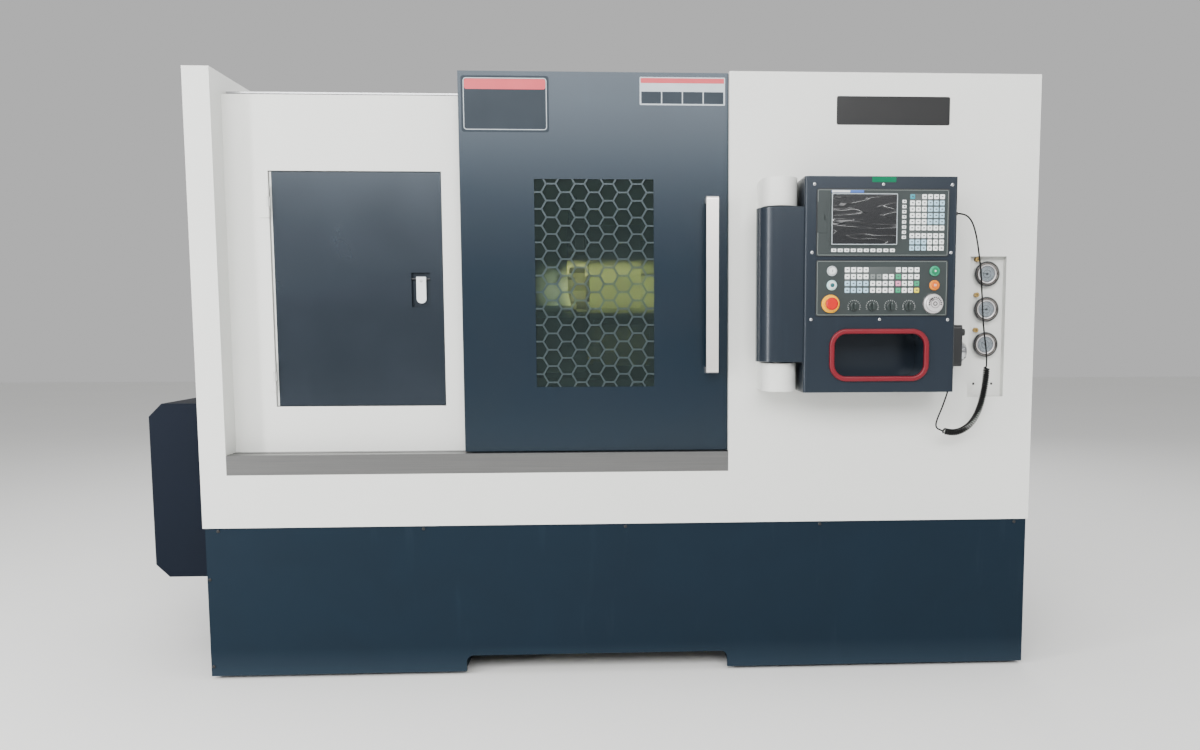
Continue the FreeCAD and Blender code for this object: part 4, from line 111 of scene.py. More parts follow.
def shrunk(sides: Sides, edge: float) -> Sides:
    """The sides, each drawn in by an edge."""
    left, right, low, high = sides
    return left + edge, right - edge, low + edge, high - edge


def linear(code: str) -> tuple[float, float, float, float]:
    """Turns an sRGB hex colour into a linear one.

    Args:
        code: Six hex digits.

    Returns:
        Red, green, blue and an alpha of 1.
    """
    parts = [int(code[i : i + 2], 16) / 255 for i in (0, 2, 4)]
    red, green, blue = (p / 12.92 if p <= 0.04045 else ((p + 0.055) / 1.055) ** 2.4 for p in parts)
    return red, green, blue, 1.0


def fill(tree: Tree, node: Node, inputs: dict[Any, Any]) -> None:
    """Sets a node's inputs.

    Args:
        tree: The node's tree.
        node: The node.
        inputs: Values, hex colours, sockets or other nodes, for their first result, by input name or number.
    """
    for key, value in inputs.items():
        if isinstance(value, Node):
            value = next(socket for socket in value.outputs if socket.enabled)
        if isinstance(value, Socket):
            tree.links.new(value, node.inputs[key])
        else:
            node.inputs[key].default_value = linear(value) if isinstance(value, str) else value


def add(tree: Tree, kind: str, inputs: dict[Any, Any] | None = None, **settings: Any) -> Node:
    """Adds a node with its settings and its inputs.

    Args:
        tree: The tree that the node goes into.
        kind: The node's type.
        inputs: What its inputs get, as fill takes them.
        settings: Attributes of the node.

    Returns:
        The node.
    """
    node = tree.nodes.new(kind)
    for key, value in settings.items():
        setattr(node, key, value)
    fill(tree, node, inputs or {})
    return node


def link(piece: Piece) -> Piece:
    """Puts an object into the scene."""
    bpy.context.scene.collection.objects.link(piece)
    return piece


def settle(piece: Piece, body: str, slot: str, *nodes: str) -> None:
    """Makes a finished piece ride on a body and hides the CAD nodes that it stands for.

    Args:
        piece: The piece.
        body: Body that carries it.
        slot: Material slot of the record; not used.
        nodes: CAD nodes that it stands for.
    """
    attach(piece, body)
    if nodes:
        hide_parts(*nodes)
    LOG.info("%s rides on %s", piece.name, body)


def dress(finish: str, *nodes: str) -> None:
    """Gives CAD nodes a finish.

    Args:
        finish: The finish's name.
        nodes: The nodes' names.
    """
    for node in nodes:
        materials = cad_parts[node].data.materials
        materials.clear()
        materials.append(bpy.data.materials[finish])


# ---------------------------------------------------------------- finishes


class Stroke(Enum):
    """Direction of a metal's brush or tool marks, as the pattern's scale along each axis."""

    ALONG_X = (4.0, 900.0, 900.0)
    ALONG_Z = (900.0, 900.0, 4.0)


class KeyColour(Enum):
    """Colours of the silicone keys: letter in a keypad's layout, paint and its shade."""

    WHITE = ("W", "F0F2F0", "E4E8E6")
    BLUE = ("B", "A9CBDB", "98BDD0")
    TEAL = ("T", "128A9C", "107C8C")
    GREEN = ("G", "1D9468", "17875E")
    PINK = ("P", "E08FB0", "D37FA2")
    YELLOW = ("Y", "E0D01A", "D4C214")
    DARK = ("D", "6E7573", "646B69")


@dataclass(frozen=True)
class Finish:
    """A plain moulded or printed surface: one colour with a faint cloud and a fine grain.

    A zone is a rectangle with another paint: its left, right, low and high side in frame metres, and
    the paint.
    """

    name: str
    colour: str
    shade: str
    roughness: float
    metallic: float = 0.0
    cloud_mm: float = 260.0
    grain_mm: float = 1.6
    grain_depth_mm: float = 0.02
    coat: float = 0.0
    coat_roughness: float = 0.12
    sheen: float = 0.5
    gloss: str = "FFFFFF"
    alpha: float = 1.0
    zone: tuple[float, float, float, float, str] | None = None

    def build(self) -> None:
        """Makes the material."""
        material = bpy.data.materials.new(self.name)
        material.use_nodes = True
        tree = material.node_tree
        values = {
            "Metallic": self.metallic,
            "Alpha": self.alpha,
            "Coat Weight": self.coat,
            "Coat Roughness": self.coat_roughness,
            "Specular IOR Level": self.sheen,
            "Specular Tint": self.gloss,
        }
        fill(tree, tree.nodes["Principled BSDF"], values)
        self.weave(tree, add(tree, "ShaderNodeTexCoord").outputs["Object"])

    def weave(self, tree: Tree, place: Socket) -> None:
        """Adds the patterns.

        Args:
            tree: The material's tree.
            place: Object coordinates, in metres.
        """
        cloud = add(tree, NOISE, {"Vector": place, "Scale": 1 / (self.cloud_mm * MM), "Detail": 4.0})
        grain = add(tree, NOISE, {"Vector": place, "Scale": 1 / (self.grain_mm * MM), "Detail": 2.0})
        self.cover(tree, place, cloud, grain)

    def cover(self, tree: Tree, place: Socket, pattern: Node, relief: Node) -> None:
        """Lays colour, roughness and relief on the shader.

        Args:
            tree: The material's tree.
            place: Object coordinates, in metres.
            pattern: Share of the shade, which also varies the roughness a little.
            relief: Height of the surface.
        """
        colour: Any = self.colour
        for share, paint in [(pattern, self.shade), *self.layers(tree, place)]:
            colour = add(tree, MIX, {0: share, 6: colour, 7: paint}, data_type="RGBA")
        least, most = max(0.02, self.roughness * 0.85), self.roughness * 1.15
        spread = {"Value": pattern, "To Min": least, "To Max": most}
        bump = {"Height": relief, "Strength": 1.0, "Distance": self.grain_depth_mm * MM}
        results = {
            "Base Color": colour,
            "Roughness": add(tree, RANGE, spread),
            "Normal": add(tree, BUMP, bump),
        }
        fill(tree, tree.nodes["Principled BSDF"], results)

    def layers(self, tree: Tree, place: Socket) -> list[Layer]:
        """Paints over the first one, each with its share: here the zone's, seen from the front.

        Args:
            tree: The material's tree.
            place: Object coordinates, in metres.

        Returns:
            The layers, the lowest first.
        """
        if not self.zone:
            return []
        left, right, low, high, paint = self.zone
        parts = add(tree, SPLIT, {0: place}).outputs
        inside = [
            add(tree, MATH, {0: parts[axis], 1: (start + end) / 2, 2: (end - start) / 2}, operation="COMPARE")
            for axis, start, end in (("X", left, right), ("Z", low, high))
        ]
        return [(add(tree, MATH, {0: inside[0], 1: inside[1]}, operation="MULTIPLY"), paint)]


@dataclass(frozen=True)
class PowderCoat(Finish):
    """Sprayed and baked powder on folded sheet: an orange peel, faint streaks and dust towards the floor."""

    dust: str = ""
    dust_height_mm: float = 1.0
    streak: float = 0.0

    def weave(self, tree: Tree, place: Socket) -> None:
        """Adds the cloud and the peel.

        Args:
            tree: The material's tree.
            place: Object coordinates, in metres.
        """
        wide = {"Vector": place, "Scale": 1 / (self.cloud_mm * MM), "Detail": 5.0, "Distortion": 0.6}
        fine = {"Vector": place, "Scale": 1 / (self.grain_mm * MM), "Detail": 1.0}
        self.cover(tree, place, add(tree, NOISE, wide), add(tree, NOISE, fine))

    def layers(self, tree: Tree, place: Socket) -> list[Layer]:
        """Rubbed streaks and dust, under the zone.

        Args:
            tree: The material's tree.
            place: Object coordinates, in metres.

        Returns:
            The layers, the lowest first.
        """
        found = []
        if self.streak:
            # Wiping and handling leave upright paler streaks, a few centimetres apart
            drawn = add(tree, VECTOR_MATH, {0: place, 1: (26.0, 26.0, 2.5)}, operation="MULTIPLY")
            wiped = add(tree, NOISE, {"Vector": drawn, "Scale": 1.0, "Detail": 6.0})
            share = {"Value": wiped, "From Min": 0.62, "From Max": 0.8, "To Max": self.streak}
            found.append((add(tree, RANGE, share), self.dust or self.colour))
        if self.dust:
            height = add(tree, SPLIT, {0: place}).outputs["Z"]
            share = {"Value": height, "From Max": self.dust_height_mm * MM, "To Min": 0.35, "To Max": 0.0}
            found.append((add(tree, RANGE, share), self.dust))
        return found + super().layers(tree, place)


@dataclass(frozen=True)
class BrushedMetal(Finish):
    """Metal with fine parallel marks from a brush, a grinder or a cutter."""

    stroke: Stroke = Stroke.ALONG_X

    def weave(self, tree: Tree, place: Socket) -> None:
        """Adds the marks to colour, roughness and bump.

        Args:
            tree: The material's tree.
            place: Object coordinates, in metres.
        """
        drawn = add(tree, VECTOR_MATH, {0: place, 1: self.stroke.value}, operation="MULTIPLY")
        marks = add(tree, NOISE, {"Vector": drawn, "Scale": 1.0, "Detail": 3.0})
        self.cover(tree, place, marks, marks)


@dataclass(frozen=True)
class TurnedMetal(Finish):
    """Metal turned on a lathe: rings round an axis along x, through a frame point."""

    axis: Place = (0.0, 0.0, 0.0)
    feed_mm: float = 1.2

    def weave(self, tree: Tree, place: Socket) -> None:
        """Adds rings by the distance from the axis and along it.

        Args:
            tree: The material's tree.
            place: Object coordinates, in metres.
        """
        moved = add(tree, VECTOR_MATH, {0: place, 1: self.axis}, operation="SUBTRACT")
        flat = add(tree, VECTOR_MATH, {0: moved, 1: (0.0, 1.0, 1.0)}, operation="MULTIPLY")
        radius = add(tree, VECTOR_MATH, {0: flat}, operation="LENGTH")
        along = add(tree, SPLIT, {0: moved}).outputs["X"]
        joint = add(tree, JOIN, {0: along, 1: radius})
        rings = add(tree, NOISE, {"Vector": joint, "Scale": 1 / (self.feed_mm * MM), "Detail": 2.0})
        self.cover(tree, place, rings, rings)


@dataclass(frozen=True)
class Spotted(Finish):
    """Mouldings of one piece whose colour changes near some of its points: centre, radius in mm and paint."""

    spots: tuple[tuple[Vector, float, str], ...] = ()

    def layers(self, tree: Tree, place: Socket) -> list[Layer]:
        """Each spot's paint near it, seen along y.

        Args:
            tree: The material's tree.
            place: Object coordinates, in metres.

        Returns:
            The layers, one for each spot.
        """
        found = []
        for centre, radius_mm, paint in self.spots:
            away = add(tree, VECTOR_MATH, {0: place, 1: tuple(centre)}, operation="SUBTRACT")
            flat = add(tree, VECTOR_MATH, {0: away, 1: (1.0, 0.0, 1.0)}, operation="MULTIPLY")
            reach = add(tree, VECTOR_MATH, {0: flat}, operation="LENGTH")
            near = add(tree, MATH, {0: reach, 1: radius_mm * MM}, operation="LESS_THAN")
            found.append((near, paint))
        return found


@dataclass(frozen=True)
class Crinkled(Finish):
    """Display glass under its clear transport film, which lies in long shallow creases."""

    crease_mm: float = 60.0
    crease_depth_mm: float = 1.6

    def weave(self, tree: Tree, place: Socket) -> None:
        """Adds the creases, and a painted highlight along their crests, to an even dark glass.

        Args:
            tree: The material's tree.
            place: Object coordinates, in metres.
        """
        lean = {"Vector": place, "Rotation": (0.0, 0.12, 0.0), "Scale": (0.5, 1.0, 2.9)}
        leaned = add(tree, "ShaderNodeMapping", lean)
        long = {"Vector": leaned, "Scale": 1 / (self.crease_mm * MM), "Detail": 0.6, "Distortion": 0.25}
        crease = add(tree, NOISE, long)
        ridge = add(tree, MATH, {0: crease, 1: 0.5}, operation="SUBTRACT")
        fold = add(tree, MATH, {0: ridge}, operation="ABSOLUTE")
        sharp = add(tree, RANGE, {"Value": fold, "From Max": 0.05, "To Min": 1.0, "To Max": 0.0})
        # Painted highlight: the crests of the creases are painted pale as long thin broken lines, where they
        # would catch the lamps
        drawn = add(tree, VECTOR_MATH, {0: place, 1: (14.0, 1.0, 60.0)}, operation="MULTIPLY")
        broken = add(tree, NOISE, {"Vector": drawn, "Scale": 1.0, "Detail": 3.0})
        crest = add(tree, RANGE, {"Value": fold, "From Max": 0.005, "To Min": 1.0, "To Max": 0.0})
        patch = add(tree, RANGE, {"Value": broken, "From Min": 0.47, "From Max": 0.56})
        painted_glint = add(tree, MATH, {0: crest, 1: patch}, operation="MULTIPLY")
        bump = {"Height": sharp, "Strength": 1.0, "Distance": self.crease_depth_mm * MM}
        results = {
            "Base Color": add(tree, MIX, {0: painted_glint, 6: self.colour, 7: self.shade}, data_type="RGBA"),
            "Roughness": self.roughness,
            "Normal": add(tree, BUMP, bump),
        }
        fill(tree, tree.nodes["Principled BSDF"], results)


def palette() -> list[Finish]:
    """Lists the finishes.

    Returns:
        Every finish of the machine and the studio.
    """
    pane_low, pane_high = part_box("door_window")
    hold = 15 * MM
    pane = (pane_low.x + hold, pane_high.x - hold, pane_low.z + hold, pane_high.z - hold)
    hinge_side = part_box("access_door")[0].x + 12 * MM
    latch = middle("access_latch").x
    paddle = 14.2 * MM
    # Far beyond the machine on every side
    far = 9.0
    navy_gloss = "E6F3FF"
    keys = [
        Finish("silicone_key_" + key.name.lower(), *key.value[1:], 0.5, 0.0, 9, coat=0.1) for key in KeyColour
    ]
    return keys + [
        # Warm light grey powder on the sheets: satin, with a soft peel that breaks up reflections
        PowderCoat(
            "powder_coat_light", "DADBD7", "D4D5D1", 0.42, grain_mm=3.0, dust="B9B6AC", dust_height_mm=60,
        ),
        # Navy powder on doors: a finer, silkier coat that shows wiped dust; the window's ribs are painted
        # greyer in a zone, a painted reflection of the light from above
        PowderCoat(
            "powder_coat_navy", "061825", "05131D", 0.26, grain_mm=2.4, gloss="E6F2FD",
            dust="2E4358", streak=0.12, zone=(*pane, "2F393A"),
        ),
        # The same powder on the access door, darker, with faint paler clouds and streaks, and light on the
        # hinges' leaves
        PowderCoat(
            "powder_coat_door", "040C15", "07121D", 0.26, cloud_mm=230, grain_mm=2.4, sheen=0.72,
            gloss=navy_gloss, dust="3A444D", streak=0.04, zone=(-far, hinge_side, 0.0, far, "C9CAC6"),
        ),
        # Console paint: the same navy, a little greyer
        PowderCoat(
            "powder_coat_console", "1D252E", "181F27", 0.25, grain_mm=2.0, sheen=0.36, gloss="F4F9FF",
            dust="3A4A58", streak=0.05,
        ),
        # Navy powder on the skirt: the same coat with floor dust and scuffs
        PowderCoat(
            "powder_coat_skirt", "0E1D29", "0C1822", 0.50, grain_mm=3.0, sheen=0.15, gloss=navy_gloss,
            dust="33404B", dust_height_mm=90, streak=0.10,
        ),
        # The same coat on the drive cover, which keeps out of the dust, painted darker as painted shade,
        # since it stands further back in shadow
        PowderCoat(
            "powder_coat_cover", "060C19", "050A15", 0.50, grain_mm=3.0, sheen=0.13, gloss=navy_gloss,
            streak=0.04,
        ),
        # Splash lining: yellow-green enamel, which colours the light behind the window
        PowderCoat("lining_enamel", "6F7A48", "5F6A3B", 0.45, grain_mm=4.0),
        # Cold rolled stainless, brushed along its length
        BrushedMetal("brushed_stainless_sill", "7C7C7B", "636363", 0.34, 1.0, grain_depth_mm=0.01),
        BrushedMetal(
            "brushed_stainless_handle", "EDEAE6", "D8D4D0", 0.36, 1.0,
            grain_depth_mm=0.01, stroke=Stroke.ALONG_Z,
        ),
        # Grey enamel over rough cast iron, and a darker one on the carriage, dulled by a film of oil
        Finish("enamelled_cast_iron", "5F6A66", "525C59", 0.5, grain_mm=5.0, grain_depth_mm=0.25),
        Finish("carriage_enamel", "565D52", "474E45", 0.55, cloud_mm=90, grain_mm=5.0, grain_depth_mm=0.2),
        # Bare steels: turned rings that spread the light, black oxide, and ground bright
        TurnedMetal("turned_steel", "A4A6A6", "8E8F91", 0.40, 1.0, axis=(0.0, *middle("quill").yz)),
        BrushedMetal("blackened_steel", "5A5D58", "484B46", 0.55, 0.7, grain_depth_mm=0.01),
        BrushedMetal("bright_steel", "B9BABB", "8F9092", 0.25, 1.0, grain_depth_mm=0.005),
        # Plated and polished small parts: dull zinc, clear chrome, yellow brass, and a dark painted shadow
        # for the bores of the brass fittings
        Finish("zinc_plated_steel", "A9ACAE", "8A8D90", 0.38, 0.9, 12, grain_mm=1.0),
        Finish("polished_chrome", "C9CBCD", "B4B6B8", 0.12, 1.0, 20, grain_depth_mm=0.002),
        # Chrome on the gauges: rims and cases are darkened and clouded with dark patches, a painted
        # reflection of dark surroundings
        Finish("grey_chrome_rim", "9A9591", "4A4744", 0.22, 1.0, 20, grain_depth_mm=0.002),
        Finish("dark_chrome_rim", "8A8C8E", "2E2F30", 0.18, 1.0, 16, grain_depth_mm=0.002),
        Finish("anodised_silver", "D9D6D6", "C9C5C6", 0.32, 0.55, 30, grain_mm=0.8),
        Finish("turned_brass", "B79A5C", "9C8148", 0.34, 0.9, 8, grain_mm=0.8),
        Finish("fitting_bore_shadow", "3A2E18", "2E2412", 0.5, 0.0, 6),
        # White paddle on a dark pin: the pin shows only beyond the paddle's sides
        Finish(
            "latch_zinc", "101318", "101318", 0.34, coat=0.3,
            zone=(latch - paddle, latch + paddle, -far, far, "D3D8DA"),
        ),
        Finish("black_motor_enamel", "2A2D30", "232629", 0.45, grain_mm=3.0, grain_depth_mm=0.05),
        # Rubber and soft vinyl: dull, nearly black
        Finish("ribbed_rubber_belt", "1C1D1F", "26272A", 0.75, cloud_mm=30),
        Finish("pvc_cord_jacket", "040505", "070808", 0.5, cloud_mm=18, grain_depth_mm=0.01, sheen=0.2),
        # Printed polyester film on the operating panels: matt, grey-green
        Finish("polyester_film_panel", "272F2F", "232A2A", 0.45, 0.0, 60, 1.2, 0.015, sheen=0.35),
        Finish("panel_edge_grey", "7E8683", "727A77", 0.4, 0.0, 40),
        # Inks: matt, a little uneven
        Finish("printed_legend_ink", "23282B", "2B3033", 0.6, 0.0, 9),
        Finish("key_legend_ink", "4A5054", "3C4145", 0.6, 0.0, 9),
        Finish("wheel_mark_ink", "1C0C10", "16090C", 0.6, 0.0, 6, sheen=0.1),
        Finish("white_print_ink", "D8DAD8", "C9CCCA", 0.6, 0.0, 9),
        # Moulded ABS: fine spark-eroded grain, satin
        Finish("moulded_black_abs", "0C0D0F", "111316", 0.38, 0.0, 25, 0.9, 0.03),
        Finish("moulded_knob_abs", "1F2726", "272F2E", 0.36, 0.0, 15, 0.9, 0.03, sheen=0.4),
        Finish("moulded_bezel_abs", "4A5351", "424B49", 0.34, 0.0, 40),
        Finish("abs_flap", "353D3C", "2F3635", 0.42, 0.0, 30, 1.0),
        Finish("moulded_red_rim", "6E0A1B", "600817", 0.36, 0.0, 70, sheen=0.35),
        Finish("gloss_black_acrylic", "050607", "090A0C", 0.42, 0.0, 60, grain_depth_mm=0.004, sheen=0.3),
        # Buttons: glossy moulded nylon, deep in colour
        Finish("signal_red_plastic", "C01006", "B00E05", 0.34, 0.0, 12, sheen=0.3),
        Finish("signal_green_plastic", "027A50", "026C47", 0.34, 0.0, 10, sheen=0.3),
        Finish("signal_orange_plastic", "D06204", "C25A03", 0.34, 0.0, 10, sheen=0.3),
        Finish("signal_teal_plastic", "0A5358", "08484D", 0.30, 0.0, 10, coat=0.2),
        Finish("opal_white_plastic", "DDE0DF", "D0D4D3", 0.30, 0.0, 10, coat=0.4),
        # Rings round the buttons: white under lacquer, tinted in the colour of three buttons and the stop
        Spotted(
            "switch_ring_plating", "B7BDBF", "B7BDBF", 0.25, cloud_mm=10, coat=0.5,
            spots=(
                (middle("estop_button"), 27.0, "F5AE00"),
                (middle("cycle_start_button"), 16.0, "2C9C76"),
                (middle("feed_hold_button"), 16.0, "E58A24"),
                (middle("power_off_button"), 16.0, "BFE3E4"),
            ),
        ),
        # Clear sheets: smoked polycarbonate, and the gauges' thin glass
        Finish(
            "tinted_polycarbonate", "222E2D", "1E2928", 0.08, cloud_mm=300, grain_depth_mm=0.0, alpha=0.42,
        ),
        Finish("gauge_glass", "50565A", "4A5054", 0.03, cloud_mm=60, grain_depth_mm=0.0, alpha=0.10),
        # Display glass under its film: the pale second colour is a painted highlight on the crests of the
        # creases
        Crinkled("display_glass_in_film", "101215", "F4F6F6", 0.22, coat=0.2),
        Finish("dial_face_grey", "A9B3BA", "5B656C", 0.4, 0.0, 6),
        # Printed label films: satin, flat in colour
        Finish("label_header_red", "C02A3A", "B52434", 0.38, 0.0, 60),
        Finish("label_field_slate", "111A22", "0E161D", 0.42, 0.0, 60, sheen=0.34, gloss="E3EFFA"),
        Finish("label_border_silver", "AEB7BC", "A2ABB0", 0.34, 0.0, 60),
        Finish("label_blue_strip", "1F4FA8", "3465AB", 0.36, 0.0, 40),
        Finish("label_green_tag", "006445", "005C3F", 0.5, 0.0, 40, sheen=0.1),
        # Pale matt paint on the studio's floor
        Finish("studio_floor_paint", "F2F2F0", "EEEEEC", 0.7, cloud_mm=900, grain_depth_mm=0.0),
    ]


# ---------------------------------------------------------------- mesh shapes


def from_bmesh(name: str, shape: bmesh.types.BMesh, finish: str, sharp: float = 35.0) -> Piece:
    """Turns a bmesh into an object of the scene.

    Args:
        name: The object's name.
        shape: The bmesh, which is used up.
        finish: Name of its finish.
        sharp: Angle in degrees from which an edge stays sharp.

    Returns:
        The object, smooth over its gentle edges.
    """
    data = bpy.data.meshes.new(name)
    shape.to_mesh(data)
    shape.free()
    data.materials.append(bpy.data.materials[finish])
    data.polygons.foreach_set("use_smooth", [True] * len(data.polygons))
    data.set_sharp_from_angle(angle=math.radians(sharp))
    return link(bpy.data.objects.new(name, data))


def skin(name: str, loops: Sequence[Loop], finish: str, ring: bool = False, sharp: float = 35.0) -> Piece:
    """Skins a row of loops with as many points each.

    Args:
        name: The object's name.
        loops: Closed loops of frame points.
        finish: Name of its finish.
        ring: Whether the last loop joins the first; otherwise both ends are capped.
        sharp: Angle in degrees from which an edge stays sharp.

    Returns:
        The object.
    """
    shape = bmesh.new()
    rows = [[shape.verts.new(point) for point in loop] for loop in loops]
    for one, other in zip(rows, rows[1:] + rows[:1] if ring else rows[1:]):
        for i in range(len(one)):
            j = (i + 1) % len(one)
            shape.faces.new((one[i], one[j], other[j], other[i]))
    if not ring:
        shape.faces.new(rows[0][::-1])
        shape.faces.new(rows[-1])
    bmesh.ops.recalc_face_normals(shape, faces=shape.faces)
    return from_bmesh(name, shape, finish, sharp)


def merged(name: str, pieces: Sequence[Piece], finish: str) -> Piece:
    """Joins meshes into one object, and removes them.

    Args:
        name: The object's name.
        pieces: The meshes.
        finish: Name of its finish.

    Returns:
        The object.
    """
    shape = bmesh.new()
    for piece in pieces:
        shape.from_mesh(piece.data)
        bpy.data.objects.remove(piece)
    return from_bmesh(name, shape, finish)


def outline(sides: Sides, corner: float, y: float, inset: float = 0.0) -> Loop:
    """Round-cornered rectangle that faces the front, in frame metres.

    Args:
        sides: Its sides.
        corner: Its corner radius.
        y: Its depth.
        inset: How far it is drawn in.

    Returns:
        Its points, seven to a corner.
    """
    radius = max(corner - inset, 0.05)
    left, right, low, high = shrunk(sides, inset + radius)
    points = []
    for x, z, start in ((right, high, 0), (left, high, 90), (left, low, 180), (right, low, 270)):
        for step in range(7):
            angle = math.radians(start + 15 * step)
            points.append(spot(x + radius * math.cos(angle), y, z + radius * math.sin(angle)))
    return points


def tablet(
    name: str, sides: Sides, depths: tuple[float, float], corner: float, edge: float, finish: str
) -> Piece:
    """Flat plate that faces the front, with round corners and a softened front edge.

    Args:
        name: The object's name.
        sides: Its sides.
        depths: Front and back.
        corner: Corner radius.
        edge: Width of the softened edge.
        finish: Name of its finish.

    Returns:
        The plate.
    """
    front, back = depths
    steps = ((back, 0.0), (front + edge, 0.0), (front + edge * 0.3, edge * 0.3), (front, edge))
    return skin(name, [outline(sides, corner, *step) for step in steps], finish, sharp=20.0)


def band(
    name: str, sides: Sides, depths: tuple[float, float], corner: float, width: float, finish: str
) -> Piece:
    """Round-cornered frame with a crowned face that faces the front, drawn in by its width.

    Args:
        name: The object's name.
        sides: Its sides.
        depths: Front and back.
        corner: Outer corner radius.
        width: Width of the frame.
        finish: Name of its finish.

    Returns:
        The frame.
    """
    front, back = depths
    bevel = min(width, back - front) * 0.3
    steps = (
        (back, 0.0), (front + bevel, 0.0), (front, bevel),
        (front, width - bevel), (front + bevel, width), (back, width),
    )
    return skin(name, [outline(sides, corner, *step) for step in steps], finish, ring=True, sharp=20.0)


def turned(
    name: str, centre: Vector, axis: Vector, profile: Sequence[tuple[float, float]], finish: str,
    sides: int = 40, ring: bool = False,
) -> Piece:
    """Turned piece.

    Args:
        name: The object's name.
        centre: Frame point that the profile starts from.
        axis: Direction of the profile.
        profile: Pairs of distance along the axis and radius, in millimetres.
        finish: Name of its finish.
        sides: Sides of each circle.
        ring: Whether the profile closes on itself.

    Returns:
        The piece.
    """
    ahead = axis.normalized()
    across = ahead.orthogonal().normalized()
    other = ahead.cross(across)
    angles = [2 * math.pi * i / sides for i in range(sides)]
    loops = []
    for along, radius in profile:
        start = centre + ahead * (along * MM)
        reach = max(radius, 0.02) * MM
        loops.append([start + (across * math.cos(a) + other * math.sin(a)) * reach for a in angles])
    return skin(name, loops, finish, ring)


def bar(
    name: str, start: Vector, end: Vector, face: Vector, width: float, height: float, finish: str
) -> Piece:
    """Slim bar with a softened top, lying on a face between two points.

    Args:
        name: The object's name.
        start, end: Frame points on the face.
        face: The face's outward direction.
        width, height: Its section, in millimetres.
        finish: Name of its finish.

    Returns:
        The bar.
    """
    ahead = (end - start).normalized()
    side = ahead.cross(face).normalized() * (width * MM / 2)
    up = face.normalized() * (height * MM)
    loops = []
    for rise, share, trim in ((0.0, 1.0, 0.0), (0.7, 1.0, 0.0), (1.0, 0.7, 0.15)):
        near = start + up * rise + ahead * (width * MM * trim)
        far = end + up * rise - ahead * (width * MM * trim)
        loops.append([near + side * share, far + side * share, far - side * share, near - side * share])
    return skin(name, loops, finish)


def tick(reach: float, width: float, height: float, finish: str) -> Piece:
    """Upright mark at the origin, facing the front, as a shape to repeat, with its half length first."""
    end = Vector((0, 0, reach * MM))
    return bar("tick", -end, end, FRONT, width, height, finish)


def screw_head(radius: float, height: float, socket: float, finish: str, axis: Vector = FRONT) -> Piece:
    """Button-head screw at the origin, as a shape to repeat.

    Args:
        radius, height: Sizes of its head, in millimetres.
        socket: Radius of its socket.
        finish: Name of its finish.
        axis: Direction that its head faces.

    Returns:
        The screw.
    """
    profile = [
        (0, radius), (height * 0.35, radius), (height * 0.8, radius * 0.78),
        (height, radius * 0.55), (height, socket), (height * 0.45, socket * 0.9),
    ]
    return turned("screw", ORIGIN, axis, profile, finish, 18)


# ---------------------------------------------------------------- repeats


class Pattern(Enum):
    """How a repeated shape is placed, by the sizes that its tree takes."""

    ROW = {"Count": "Int", "Start": "Vector", "Step": "Vector"}
    RING = {
        "Count": "Int", "Radius": "Float", "First Angle": "Float", "Angle Step": "Float",
        "Centre": "Vector", "Turn": "Vector",
    }
    POINTS: dict[str, str] = {}


